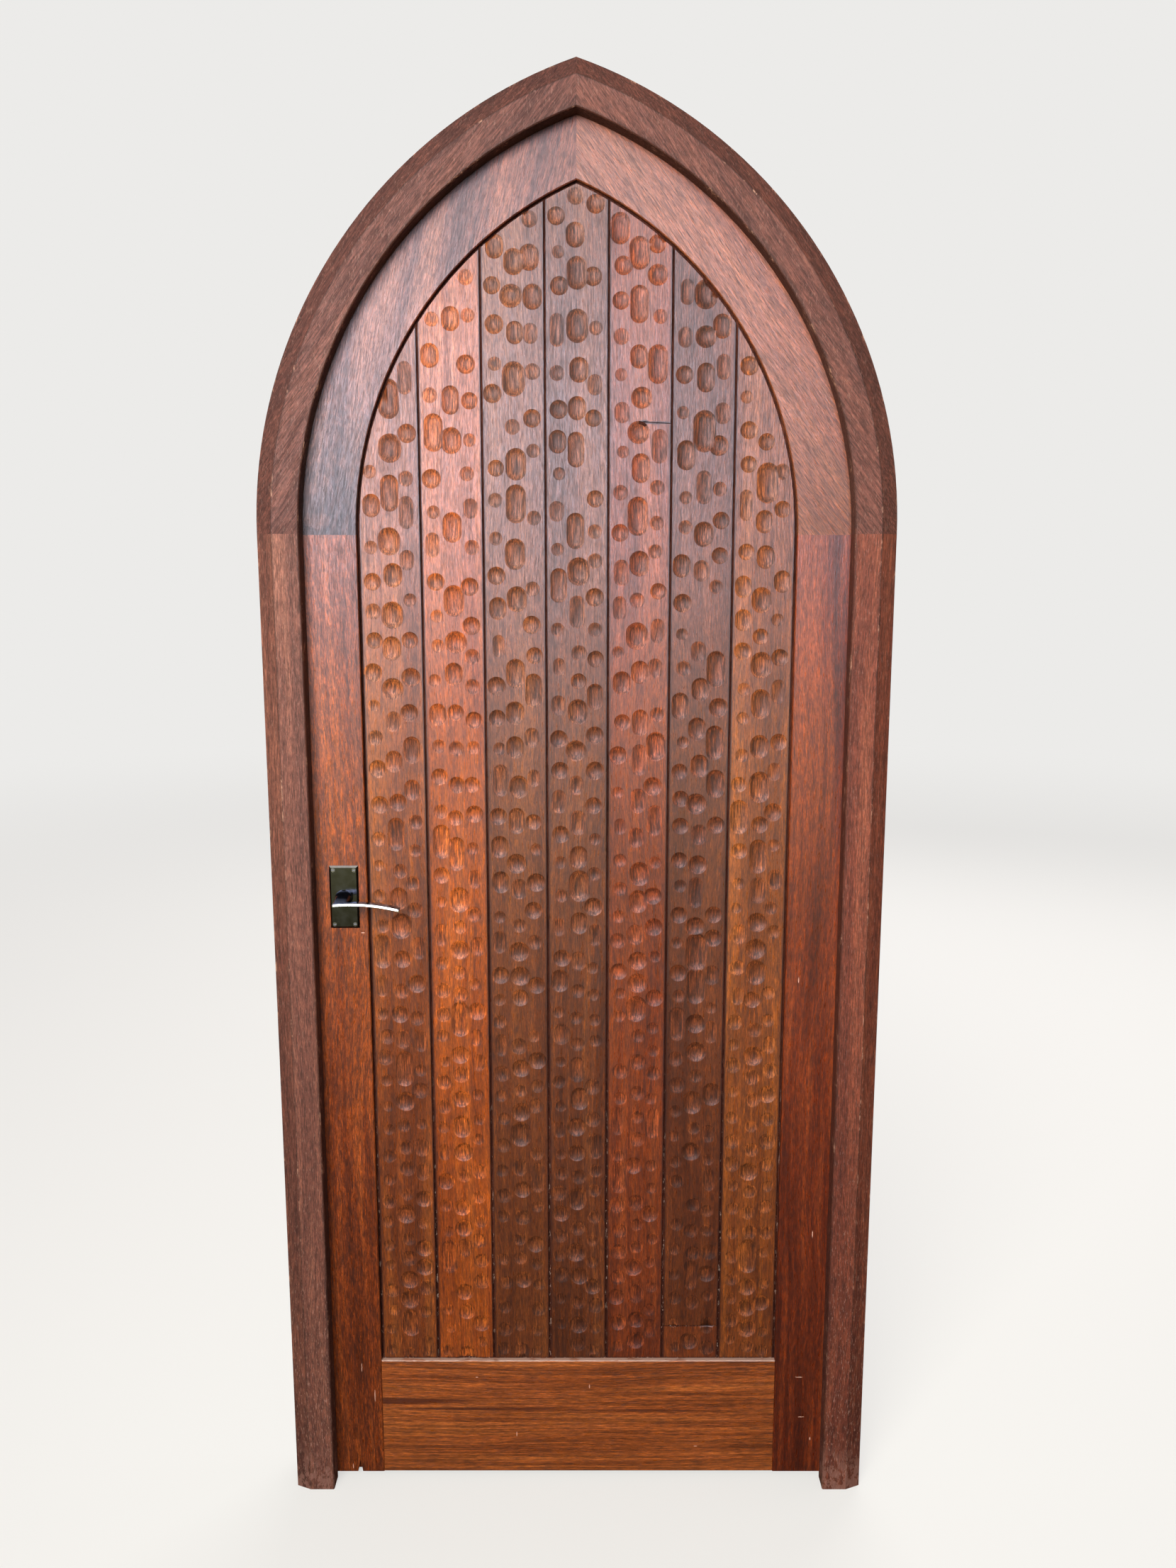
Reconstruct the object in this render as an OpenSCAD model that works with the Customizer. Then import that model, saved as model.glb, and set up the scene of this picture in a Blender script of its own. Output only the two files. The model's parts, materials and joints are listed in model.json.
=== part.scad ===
// Pointed-arch entrance door: a boarded leaf in its own frame, with hinges and a lever latch.
// Millimetres. X runs across the door, Y into the building, Z up. The origin is on the floor,
// half-way across the frame, on the middle plane of the leaf. The leaf opens inwards (+Y).

/* [Overall] */
// Width of the frame over its outer faces
overall_w = 1000; // [800:10:1250]
// Height of the springing joints, where the arch starts
springing_h = 1662; // [1380:1:2000]
// Rise of the arch from the springing joints to the outer point of the frame
arch_rise = 688; // [570:1:830]

/* [Frame] */
// Width of the frame's front face
frame_face_w = 67; // [55:1:81]
// Width of the sloping band along the outer edge of the front face
band_w = 25; // [15:1:30]
// Fall of that band, from front to back
band_fall = 10; // [5:1:15]
// Depth of the stop in front of the leaf
stop_d = 31; // [25:1:38]
// Width of the rebate that the leaf closes into
rebate_w = 12.5; // [10:0.5:15]
// Gap between the closed leaf and the stop
stop_gap = 1; // [0.5:0.5:2]
// Small chamfer on the sharp edges of the timber
arris = 1.5; // [0.5:0.5:2.5]

/* [Leaf] */
// Thickness of the leaf
leaf_t = 56; // [50:1:68]
// Gap between the leaf and the frame at the sides and round the arch
edge_gap = 3; // [3:0.5:5]
// Gap between the leaf and the floor
floor_gap = 10; // [6:1:14]
// Width of the stiles and of the curved head pieces
stile_w = 94; // [85:1:113]
// Height of the bottom rail
rail_h = 218; // [180:1:262]
// Height of the split in the foot of the latch stile
split_h = 23; // [10:1:30]

/* [Boards] */
// Thickness of a board
board_t = 22; // [20:1:26]
// How far the boards lie behind the front of the stiles
board_recess = 5; // [3:1:7]
// Width of the square gap between boards and round them
quirk_w = 4; // [3:0.5:6]
// Depth of that gap
quirk_d = 4; // [3:0.5:5]
// Thickness of the tongue on a board
tongue_t = 7; // [6:0.5:8.5]
// How far a tongue reaches into its groove
tongue_l = 7; // [5:0.5:8.5]
// Height of a ledge, the cross rail behind the boards
ledge_h = 140; // [115:1:170]
// Height of the middle of the lower ledge
ledge_low_z = 740; // [610:1:860]
// Drop from the springing joints to the middle of the upper ledge
ledge_drop = 202; // [165:1:245]

/* [Joinery] */
// Diameter of the dowels
dowel_d = 12; // [10:0.5:14.5]
// Length of the dowels
dowel_l = 90; // [75:1:108]
// Thickness of the tenons
tenon_t = 16; // [13:1:20]
// Length of the tenons
tenon_l = 45; // [38:1:54]
// Shoulder above and below a tenon
tenon_shoulder = 22; // [18:1:27]
// Clearance of tenons, tongues and dowels in their holes
joint_clear = 0.15; // [0.1:0.05:0.3]
// Diameter of the holes for the screws that fix the frame to the wall
fixing_d = 10; // [8:0.5:12]
// Height of the lowest of these holes
fixing_low_z = 120; // [100:1:145]
// Drop from the springing joints to the highest of these holes
fixing_drop = 342; // [285:1:400]

/* [Hinges] */
// Height of a hinge
hinge_h = 100; // [83:1:120]
// Width of a hinge leaf, from the back of the door inwards
hinge_leaf_w = 32; // [27:1:38]
// Thickness of a hinge leaf
hinge_leaf_t = 3; // [2.5:0.5:3.5]
// Diameter of the hinge pin
hinge_pin_d = 8; // [7:0.5:9]
// Diameter of the knuckles
knuckle_d = 14; // [13:0.5:16]
// Distance from the back of the leaf to the pin's axis
pin_offset = 7.5; // [7.5:0.5:9]
// Gap between two knuckles
knuckle_gap = 0.3; // [0.2:0.1:0.5]
// Running clearance round the pin
pin_clear = 0.05; // [0.02:0.01:0.1]
// Height of the middle of the lowest hinge
hinge_low_z = 250; // [208:1:300]
// Drop from the springing joints to the middle of the highest hinge
hinge_drop = 162; // [135:1:194]

/* [Lock] */
// Height of the spindle
spindle_z = 1074; // [1000:1:1150]
// Distance from the edge of the leaf to the spindle
backset = 56; // [50:1:68]
// Side of the square spindle
spindle_s = 8; // [7:0.5:9]
// Clearance round the spindle in each square hole
spindle_clear = 0.1; // [0.05:0.05:0.2]
// Travel of the latch bolt
bolt_travel = 11.5; // [10:0.5:12.5]
// Turn of the lever that draws the bolt right back, in degrees
lever_turn = 55; // [50:1:60]
// Thickness of the latch case
case_t = 14; // [13:0.5:16]
// Wall of the latch case
case_wall = 1.5; // [1.2:0.1:2]
// Width of the forend
forend_w = 22; // [20:1:26]
// Thickness of the forend
forend_t = 3; // [2.5:0.5:4]
// Thickness of the latch bolt
bolt_t = 10; // [9:0.5:11]
// Height of the latch bolt
bolt_h = 18; // [15:0.5:20]
// Thickness of the strike plate
strike_t = 2; // [1.5:0.5:3]

/* [Handle] */
// Width of the back plate
plate_w = 48; // [42:1:54]
// Height of the back plate
plate_h = 106; // [90:1:127]
// Thickness of the back plate
plate_t = 4; // [3.5:0.5:5]
// Width of the bevel round the back plate
plate_bevel = 3; // [2:0.5:4]
// Diameter of the lever's neck where it leaves the plate
neck_d = 24; // [20:1:28]
// Distance from the leaf to the outer side of the lever
lever_out = 52; // [44:1:62]
// Depth of the lever's blade, from front to back
blade_d = 19; // [16:1:22]
// Thickness of the lever's blade
blade_t = 5; // [4:0.5:6]
// Length of the lever from the spindle's axis to its tip
lever_l = 98; // [82:1:117]
// Drop of the lever's tip
lever_fall = 13; // [8:1:15]

/* [Hidden] */
// Number of boards: NODES below names each of them
board_n = 7;

// Facets of the large arcs, and of the small round parts
arch_fn = 256;
round_fn = 64;
// Overshoot of a cutting tool
over = 1;

// Arch: two arcs on the springing line, each centred beyond the middle of the door
arc_shift = (arch_rise * arch_rise - overall_w * overall_w / 4) / overall_w;
frame_r = overall_w / 2 + arc_shift;
frame_inner_r = frame_r - frame_face_w;
rebate_r = frame_inner_r + rebate_w;
leaf_r = rebate_r - edge_gap;
field_r = leaf_r - stile_w;
leaf_half_w = leaf_r - arc_shift;
field_half_w = field_r - arc_shift;
// Turn of the widest arc from the springing joint to the apex, with some to spare
arc_turn = acos(arc_shift / frame_r) + 6;

// Places in depth
leaf_front_y = -leaf_t / 2;
leaf_back_y = leaf_t / 2;
stop_back_y = leaf_front_y - stop_gap;
frame_front_y = stop_back_y - stop_d;
board_front_y = leaf_front_y + board_recess;
board_back_y = board_front_y + board_t;
tongue_front_y = board_front_y + quirk_d;
tongue_back_y = tongue_front_y + tongue_t;
groove_l = tongue_l + 0.5;
tenon_y = (board_back_y + leaf_back_y) / 2;

// Boards
rail_top_z = floor_gap + rail_h;
board_pitch = (2 * field_half_w - quirk_w) / board_n;
board_w = board_pitch - quirk_w;
ledge_high_z = springing_h - ledge_drop;

// Fixing holes
fixing_high_z = springing_h - fixing_drop;
fixing_zs = [fixing_low_z, (fixing_low_z + fixing_high_z) / 2, fixing_high_z];

// Hinges
hinge_high_z = springing_h - hinge_drop;
hinge_zs = [hinge_low_z, (hinge_low_z + hinge_high_z) / 2, hinge_high_z];
pin_x = leaf_half_w + edge_gap / 2;
pin_y = leaf_back_y + pin_offset;
knuckle_n = 5;
knuckle_h = hinge_h / knuckle_n;
pin_head_d = hinge_pin_d + 4;
pin_head_h = 3;
// Front of the hinge leaves that are let into the back of the door
plate_in_y = leaf_back_y - hinge_leaf_w;
hinge_screw_d = 5;
hinge_screw_l = 28;
hinge_screw_head_d = 9;

// Lock
leaf_edge_x = -leaf_half_w;
spindle_x = leaf_edge_x + backset;
half_turn = lever_turn / 2;
arm_r = bolt_travel / (2 * sin(half_turn));
arm_tip_r = 2;
arm_w = 2;
follower_d = 17;
journal_d = 14;
work_gap = 0.2;
hook_bottom = arm_r * cos(half_turn) - 1;
rod_d = 4.5;
bolt_z = arm_r + arm_tip_r + work_gap + rod_d / 2 + 0.4;
hook_t = 3;
hook_x = spindle_x - arm_r * sin(half_turn) + arm_tip_r + work_gap;
bolt_back_x = leaf_edge_x + 14;
lug_x = leaf_edge_x + 38;
lug_t = 2;
case_x = leaf_edge_x + forend_t;
case_l = backset + 17 - forend_t;
case_low = 14;
case_high = bolt_z + bolt_h / 2 + 5;
case_h = case_low + case_high;
forend_over = 17;
forend_h = case_h + 2 * forend_over;
forend_z = (case_high - case_low) / 2;
small_screw_d = 3.5;
small_screw_l = 16;
small_screw_head_d = 6.8;
screw_clear = 0.1;
spring_wire_d = 1;
spring_d = 8;
spring_turns = 7;
strike_h = bolt_h + 42;
strike_w = forend_w + 3;
strike_hole_clear = 1;
pocket_d = bolt_travel + 3;

// Handle
plate_front_y = leaf_front_y - plate_t;
plate_screw_x = plate_w / 2 - 7;
plate_screw_z = plate_h / 2 - 7;
neck_clear = 0.1;
blade_y = leaf_front_y - lever_out;
spindle_seat = 18;
spindle_l = leaf_t + 2 * (plate_t + spindle_seat - 1);
plate_hole_d = neck_d + 2 * neck_clear;
spindle_hole_d = 18;
grub_d = 5;
grub_l = 5;

leaf_wood = [0.52, 0.27, 0.16];
frame_wood = [0.45, 0.20, 0.12];
steel = [0.62, 0.62, 0.64];
brass_tone = [0.70, 0.60, 0.38];
dark_metal = [0.22, 0.22, 0.23];
board_tones = [
  [0.50, 0.30, 0.17], [0.60, 0.29, 0.15], [0.42, 0.27, 0.18], [0.38, 0.24, 0.17],
  [0.52, 0.22, 0.15], [0.46, 0.27, 0.16], [0.54, 0.32, 0.17]
];

// ---------- shared shapes ----------

// Section of a frame member: [distance from the arc's centre, distance in front of the origin]
function frame_section() = [
  [frame_r, leaf_front_y], [frame_r, -frame_front_y - band_fall],
  [frame_r - band_w, -frame_front_y], [frame_inner_r + arris, -frame_front_y],
  [frame_inner_r, -frame_front_y - arris], [frame_inner_r, -stop_back_y],
  [rebate_r, -stop_back_y], [rebate_r, -leaf_back_y]
];

// Section of a leaf member, with the groove for the boards' tongues
function leaf_section() = [
  [leaf_r, -leaf_back_y + arris], [leaf_r, -leaf_front_y - arris],
  [leaf_r - arris, -leaf_front_y], [field_r + arris, -leaf_front_y],
  [field_r, -leaf_front_y - arris], [field_r, -tongue_front_y + joint_clear],
  [field_r + groove_l, -tongue_front_y + joint_clear],
  [field_r + groove_l, -tongue_back_y - joint_clear],
  [field_r, -tongue_back_y - joint_clear], [field_r, -leaf_back_y + arris],
  [field_r + arris, -leaf_back_y], [leaf_r - arris, -leaf_back_y]
];

// The section stood upright on the left side of the door
function upright(section) = [for (p = section) [arc_shift - p[0], -p[1]]];

// The left half of an arch with the given section
module arch_half(section) {
  intersection() {
    translate([arc_shift, 0, springing_h])
      rotate([90, 0, 0]) rotate([0, 0, 180 - arc_turn])
        rotate_extrude(angle = arc_turn, $fn = arch_fn) polygon(section);
    translate([-overall_w, -overall_w, springing_h])
      cube([overall_w, 2 * overall_w, 2 * arch_rise]);
  }
}

// A solid bounded by the pointed arch of radius r, from z0 up, between y0 and y1
module arch_prism(r, y0, y1, z0) {
  half_w = r - arc_shift;
  depth = y1 - y0;
  translate([-half_w, y0, z0]) cube([2 * half_w, depth, springing_h - z0]);
  intersection() {
    for_side(1) arch_disc(r, y0, depth);
    for_side(-1) arch_disc(r, y0, depth);
    translate([-half_w, y0, springing_h]) cube([2 * half_w, depth, arch_rise]);
  }
}

module for_side(side) { translate([side * arc_shift, 0, springing_h]) children(); }

module arch_disc(r, y0, depth) {
  translate([0, y0 + depth, 0]) rotate([90, 0, 0]) cylinder(r = r, h = depth, $fn = arch_fn);
}

// A cylinder along Y, from y0 to y1
module rod_y(d, y0, y1) {
  translate([0, y1, 0]) rotate([90, 0, 0]) cylinder(d = d, h = y1 - y0, $fn = round_fn);
}

// A cylinder along X, from x0 to x1
module rod_x(d, x0, x1) {
  translate([x0, 0, 0]) rotate([0, 90, 0]) cylinder(d = d, h = x1 - x0, $fn = round_fn);
}

// A countersunk screw: head at the origin, point towards -Z
module screw(d, l, head_d, extra = 0) {
  translate([0, 0, -l]) cylinder(d = d + extra, h = l, $fn = round_fn);
  head_h = (head_d - d) / 2;
  translate([0, 0, -head_h])
    cylinder(d1 = d + extra, d2 = head_d + extra, h = head_h, $fn = round_fn);
}

module slotted_screw(d, l, head_d) {
  difference() {
    screw(d, l, head_d);
    translate([-head_d / 2, -0.5, -0.9]) cube([head_d, 1, 0.9 + over]);
  }
}

// The hole that takes such a screw
module screw_hole(d, l, head_d) {
  screw(d, l + 1, head_d, 2 * screw_clear);
  cylinder(d = head_d + 2 * screw_clear, h = over, $fn = round_fn);
}

// Places the dowels of a springing joint, by their depth
module at_springing_dowels(x, ys) {
  for (y = ys) translate([x, y, springing_h]) children();
}

// ---------- frame ----------

frame_dowel_x = -overall_w / 2 + (frame_face_w - rebate_w) / 2;
frame_dowel_ys = [leaf_front_y + 8, leaf_back_y - 18];
frame_apex_z = springing_h + sqrt(pow((frame_r + rebate_r) / 2, 2) - arc_shift * arc_shift);

module dowel_hole_z() {
  cylinder(d = dowel_d + 2 * joint_clear, h = dowel_l + 2, center = true, $fn = round_fn);
}

module dowel_hole_x() { rotate([0, 90, 0]) dowel_hole_z(); }

module at_frame_apex_dowels() {
  for (y = frame_dowel_ys) translate([0, y, frame_apex_z]) children();
}

module jamb_blank() {
  difference() {
    linear_extrude(height = springing_h) polygon(upright(frame_section()));
    at_springing_dowels(frame_dowel_x, frame_dowel_ys) dowel_hole_z();
    for (z = fixing_zs) translate([0, 0, z])
      rod_x(fixing_d, -overall_w / 2 - over, -overall_w / 2 + frame_face_w);
  }
}

module strike_seat() {
  x = -leaf_half_w - edge_gap;
  z = spindle_z + bolt_z;
  translate([x - strike_t - 0.1, -strike_w / 2 - 0.1, z - strike_h / 2 - 0.1])
    cube([strike_t + over, strike_w + 0.2, strike_h + 0.2]);
  translate([x - pocket_d, -bolt_t / 2 - 2, z - bolt_h / 2 - 2])
    cube([pocket_d, bolt_t + 4, bolt_h + 4]);
  at_strike_screws() screw_hole(small_screw_d, small_screw_l, small_screw_head_d);
}

module at_strike_screws() {
  for (s = [-1, 1])
    translate([-leaf_half_w - edge_gap, 0, spindle_z + bolt_z + s * (strike_h / 2 - 9)])
      rotate([0, 90, 0]) children();
}

module jamb_left() {
  color(frame_wood) difference() {
    jamb_blank();
    strike_seat();
  }
}

module jamb_right() {
  color(frame_wood) difference() {
    mirror([1, 0, 0]) jamb_blank();
    for (z = hinge_zs) {
      hinge_seat(1, z);
      at_hinge_screws(1, z) screw_hole(hinge_screw_d, hinge_screw_l, hinge_screw_head_d);
    }
  }
}

module frame_head_blank() {
  difference() {
    arch_half(frame_section());
    at_springing_dowels(frame_dowel_x, frame_dowel_ys) dowel_hole_z();
    at_frame_apex_dowels() dowel_hole_x();
  }
}

module frame_head_left() { color(frame_wood) frame_head_blank(); }
module frame_head_right() { color(frame_wood) mirror([1, 0, 0]) frame_head_blank(); }

module dowel() { cylinder(d = dowel_d, h = dowel_l, center = true, $fn = round_fn); }

module frame_dowels() {
  color(leaf_wood) {
    for (m = [0, 1]) mirror([m, 0, 0]) at_springing_dowels(frame_dowel_x, frame_dowel_ys) dowel();
    at_frame_apex_dowels() rotate([0, 90, 0]) dowel();
  }
}

// ---------- leaf ----------

leaf_dowel_x = -(leaf_half_w + field_half_w) / 2;
leaf_dowel_ys = [leaf_front_y + 16, leaf_back_y - 16];
leaf_apex_z = springing_h + sqrt(pow((leaf_r + field_r) / 2 + 12, 2) - arc_shift * arc_shift);

module at_leaf_apex_dowels() {
  for (y = leaf_dowel_ys) translate([0, y, leaf_apex_z]) children();
}

// A tenon on the left, or with extra its mortise
module tenon(z0, h, extra = 0) {
  depth = extra > 0 ? 2 : 0;
  translate([-field_half_w - tenon_l - depth, tenon_y - tenon_t / 2 - extra,
             z0 + tenon_shoulder - extra])
    cube([tenon_l + depth + over, tenon_t + 2 * extra, h - 2 * tenon_shoulder + 2 * extra]);
}

module stile_blank() {
  difference() {
    translate([0, 0, floor_gap])
      linear_extrude(height = springing_h - floor_gap) polygon(upright(leaf_section()));
    at_springing_dowels(leaf_dowel_x, leaf_dowel_ys) dowel_hole_z();
    tenon(floor_gap, rail_h, joint_clear);
    for (z = [ledge_low_z, ledge_high_z]) tenon(z - ledge_h / 2, ledge_h, joint_clear);
  }
}

// The split in the foot of the latch stile
module foot_split() {
  split_x = spindle_x - 5;
  translate([split_x, leaf_front_y + board_recess * 2, floor_gap]) rotate([90, 0, 0])
    linear_extrude(height = board_recess * 2 + over)
      polygon([[-5, -over], [4, -over], [2, split_h * 0.55], [-1, split_h]]);
}

module latch_mortise() {
  translate([leaf_edge_x - over, -forend_w / 2 - 0.1, spindle_z + forend_z - forend_h / 2 - 0.1])
    cube([forend_t + over, forend_w + 0.2, forend_h + 0.2]);
  translate([leaf_edge_x, -case_t / 2 - 0.2, spindle_z - case_low - 0.2])
    cube([forend_t + case_l + 0.5, case_t + 0.4, case_h + 0.4]);
  at_forend_screws() screw_hole(small_screw_d, small_screw_l, small_screw_head_d);
}

module latch_stile() {
  color(leaf_wood) difference() {
    stile_blank();
    latch_mortise();
    translate([spindle_x, 0, spindle_z])
      rod_y(spindle_hole_d, leaf_front_y - over, leaf_back_y + over);
    at_plate_screws() screw_hole(small_screw_d, small_screw_l, small_screw_head_d);
    foot_split();
  }
}

module hinge_stile() {
  color(leaf_wood) difference() {
    mirror([1, 0, 0]) stile_blank();
    for (z = hinge_zs) {
      hinge_seat(-1, z);
      at_hinge_screws(-1, z) screw_hole(hinge_screw_d, hinge_screw_l, hinge_screw_head_d);
    }
  }
}

module leaf_head_blank() {
  difference() {
    arch_half(leaf_section());
    at_springing_dowels(leaf_dowel_x, leaf_dowel_ys) dowel_hole_z();
    at_leaf_apex_dowels() dowel_hole_x();
  }
}

module leaf_head_left() { color(leaf_wood) leaf_head_blank(); }
module leaf_head_right() { color(leaf_wood) mirror([1, 0, 0]) leaf_head_blank(); }

module leaf_dowels() {
  color(leaf_wood) {
    for (m = [0, 1]) mirror([m, 0, 0]) at_springing_dowels(leaf_dowel_x, leaf_dowel_ys) dowel();
    at_leaf_apex_dowels() rotate([0, 90, 0]) dowel();
  }
}

module bottom_rail() {
  groove_y = tongue_front_y - joint_clear;
  color(leaf_wood) difference() {
    union() {
      translate([-field_half_w, 0, floor_gap]) rotate([90, 0, 90])
        linear_extrude(height = 2 * field_half_w) polygon([
          [leaf_front_y, arris], [leaf_front_y + arris, 0],
          [leaf_back_y - arris, 0], [leaf_back_y, arris],
          [leaf_back_y, rail_h - arris], [leaf_back_y - arris, rail_h],
          [leaf_front_y + arris, rail_h], [leaf_front_y, rail_h - arris]
        ]);
      for (m = [0, 1]) mirror([m, 0, 0]) tenon(floor_gap, rail_h);
    }
    translate([-field_half_w - over, groove_y, rail_top_z - groove_l])
      cube([2 * (field_half_w + over), tongue_t + 2 * joint_clear, groove_l + over]);
  }
}

module ledge(z) {
  color(leaf_wood) {
    translate([-field_half_w, board_back_y, z - ledge_h / 2])
      cube([2 * field_half_w, leaf_back_y - board_back_y, ledge_h]);
    for (m = [0, 1]) mirror([m, 0, 0]) tenon(z - ledge_h / 2, ledge_h);
  }
}

module ledge_lower() { ledge(ledge_low_z); }
module ledge_upper() { ledge(ledge_high_z); }

// A tongued and grooved board, counted from the left, cut to the arch at its top
module board(i) {
  x0 = -field_half_w + quirk_w + i * board_pitch;
  x1 = x0 + board_w;
  reach = quirk_w + tongue_l;
  left_reach = i == 0 ? reach : 0;
  tall = springing_h + arch_rise;
  face_z0 = rail_top_z + quirk_w;
  color(board_tones[i % len(board_tones)]) difference() {
    union() {
      intersection() {
        arch_prism(field_r - quirk_w, board_front_y, board_back_y, face_z0);
        translate([x0, board_front_y - over, 0]) cube([board_w, board_t + 2 * over, tall]);
      }
      intersection() {
        arch_prism(field_r + tongue_l, tongue_front_y, tongue_back_y, rail_top_z - tongue_l);
        translate([x0 - left_reach, tongue_front_y - over, 0])
          cube([board_w + left_reach + reach, tongue_t + 2 * over, tall]);
      }
    }
    if (i > 0) translate([x0 - over, tongue_front_y - joint_clear, 0])
      cube([groove_l + over, tongue_t + 2 * joint_clear, tall]);
  }
}

module board_1() { board(0); }
module board_2() { board(1); }
module board_3() { board(2); }
module board_4() { board(3); }
module board_5() { board(4); }
module board_6() { board(5); }
module board_7() { board(6); }

// ---------- hinges ----------

// side 1 is the jamb's hinge leaf and side -1 the door's
function hinge_plate_x(side) = side > 0 ? leaf_half_w + edge_gap : leaf_half_w - hinge_leaf_t;

module hinge_seat(side, z) {
  translate([hinge_plate_x(side) - (side > 0 ? over : 0), plate_in_y - 0.1, z - hinge_h / 2 - 0.1])
    cube([hinge_leaf_t + over, hinge_leaf_w + over, hinge_h + 0.2]);
}

module at_hinge_screws(side, z) {
  face_x = side > 0 ? leaf_half_w + edge_gap : leaf_half_w;
  for (row = [-1.5, -0.5, 0.5, 1.5]) {
    stagger = abs(row) > 1 ? 5 : -5;
    translate([face_x, plate_in_y + hinge_leaf_w / 2 + stagger, z + row * hinge_h / 4.3])
      rotate([0, -side * 90, 0]) children();
  }
}

module knuckles(side, z) {
  for (k = [0 : knuckle_n - 1])
    if ((k % 2 == 0) == (side > 0))
      translate([pin_x, pin_y, z - hinge_h / 2 + k * knuckle_h + knuckle_gap / 2])
        cylinder(d = knuckle_d, h = knuckle_h - knuckle_gap, $fn = round_fn);
}

// The web that joins a knuckle to its plate, only as high as the knuckle
module knuckle_webs(side, z) {
  for (k = [0 : knuckle_n - 1])
    if ((k % 2 == 0) == (side > 0))
      translate([hinge_plate_x(side), leaf_back_y - over,
                 z - hinge_h / 2 + k * knuckle_h + knuckle_gap / 2])
        cube([hinge_leaf_t, pin_offset + over, knuckle_h - knuckle_gap]);
}

module hinge_leaf(side, z) {
  color(brass_tone) difference() {
    union() {
      translate([hinge_plate_x(side), plate_in_y, z - hinge_h / 2])
        cube([hinge_leaf_t, hinge_leaf_w, hinge_h]);
      knuckle_webs(side, z);
      knuckles(side, z);
    }
    translate([pin_x, pin_y, z - hinge_h / 2 - over])
      cylinder(d = hinge_pin_d + 2 * pin_clear, h = hinge_h + 2 * over, $fn = round_fn);
    at_hinge_screws(side, z) screw_hole(hinge_screw_d, hinge_screw_l, hinge_screw_head_d);
  }
}

module hinge_low_frame_leaf() { hinge_leaf(1, hinge_zs[0]); }
module hinge_mid_frame_leaf() { hinge_leaf(1, hinge_zs[1]); }
module hinge_top_frame_leaf() { hinge_leaf(1, hinge_zs[2]); }
module hinge_low_door_leaf() { hinge_leaf(-1, hinge_zs[0]); }
module hinge_mid_door_leaf() { hinge_leaf(-1, hinge_zs[1]); }
module hinge_top_door_leaf() { hinge_leaf(-1, hinge_zs[2]); }

module hinge_pin(z) {
  color(brass_tone) translate([pin_x, pin_y, z - hinge_h / 2]) {
    cylinder(d = hinge_pin_d, h = hinge_h, $fn = round_fn);
    translate([0, 0, hinge_h]) cylinder(d = pin_head_d, h = pin_head_h, $fn = round_fn);
  }
}

module hinge_low_pin() { hinge_pin(hinge_zs[0]); }
module hinge_mid_pin() { hinge_pin(hinge_zs[1]); }
module hinge_top_pin() { hinge_pin(hinge_zs[2]); }

module hinge_screw_set(side) {
  color(brass_tone) for (z = hinge_zs)
    at_hinge_screws(side, z) slotted_screw(hinge_screw_d, hinge_screw_l, hinge_screw_head_d);
}

module hinge_screws_frame() { hinge_screw_set(1); }
module hinge_screws_door() { hinge_screw_set(-1); }

// ---------- keep ----------

module strike_plate() {
  x = -leaf_half_w - edge_gap - strike_t;
  z = spindle_z + bolt_z;
  hole = [strike_t + 2 * over, bolt_t + 2 * strike_hole_clear, bolt_h + 2 * strike_hole_clear];
  color(steel) difference() {
    translate([x, -strike_w / 2, z - strike_h / 2]) cube([strike_t, strike_w, strike_h]);
    translate([x - over, -hole[1] / 2, z - hole[2] / 2]) cube(hole);
    at_strike_screws() screw_hole(small_screw_d, small_screw_l, small_screw_head_d);
  }
}

module strike_screws() {
  color(steel) at_strike_screws() slotted_screw(small_screw_d, small_screw_l, small_screw_head_d);
}

// ---------- latch ----------

module at_forend_screws() {
  for (s = [-1, 1])
    translate([leaf_edge_x, 0, spindle_z + forend_z + s * (forend_h / 2 - forend_over / 2)])
      rotate([0, -90, 0]) children();
}

module latch_case() {
  inner_l = case_l - case_wall;
  inner_t = case_t - 2 * case_wall;
  color(steel) difference() {
    union() {
      difference() {
        translate([case_x, -case_t / 2, spindle_z - case_low])
          cube([case_l, case_t - case_wall, case_h]);
        translate([case_x - over, -inner_t / 2, spindle_z - case_low + case_wall])
          cube([inner_l + over, case_t, case_h - 2 * case_wall]);
      }
      translate([lug_x, -inner_t / 2, spindle_z + bolt_z - rod_d])
        cube([lug_t, inner_t, case_high - bolt_z + rod_d - case_wall / 2]);
    }
    translate([spindle_x, 0, spindle_z]) rod_y(journal_d + 0.1, -case_t, case_t);
    translate([0, 0, spindle_z + bolt_z]) rod_x(rod_d + 0.4, lug_x - over, lug_x + lug_t + over);
  }
}

module latch_cover() {
  color(steel) difference() {
    translate([case_x, case_t / 2 - case_wall, spindle_z - case_low])
      cube([case_l, case_wall, case_h]);
    translate([spindle_x, 0, spindle_z]) rod_y(journal_d + 0.1, 0, case_t);
  }
}

module latch_forend() {
  hole = [forend_t + 2 * over, bolt_t + 2 * work_gap, bolt_h + 2 * work_gap];
  color(brass_tone) difference() {
    translate([leaf_edge_x, -forend_w / 2, spindle_z + forend_z - forend_h / 2])
      cube([forend_t, forend_w, forend_h]);
    translate([leaf_edge_x - over, -hole[1] / 2, spindle_z + bolt_z - hole[2] / 2]) cube(hole);
    at_forend_screws() screw_hole(small_screw_d, small_screw_l, small_screw_head_d);
  }
}

module forend_screws() {
  color(brass_tone) at_forend_screws()
    slotted_screw(small_screw_d, small_screw_l, small_screw_head_d);
}

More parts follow.
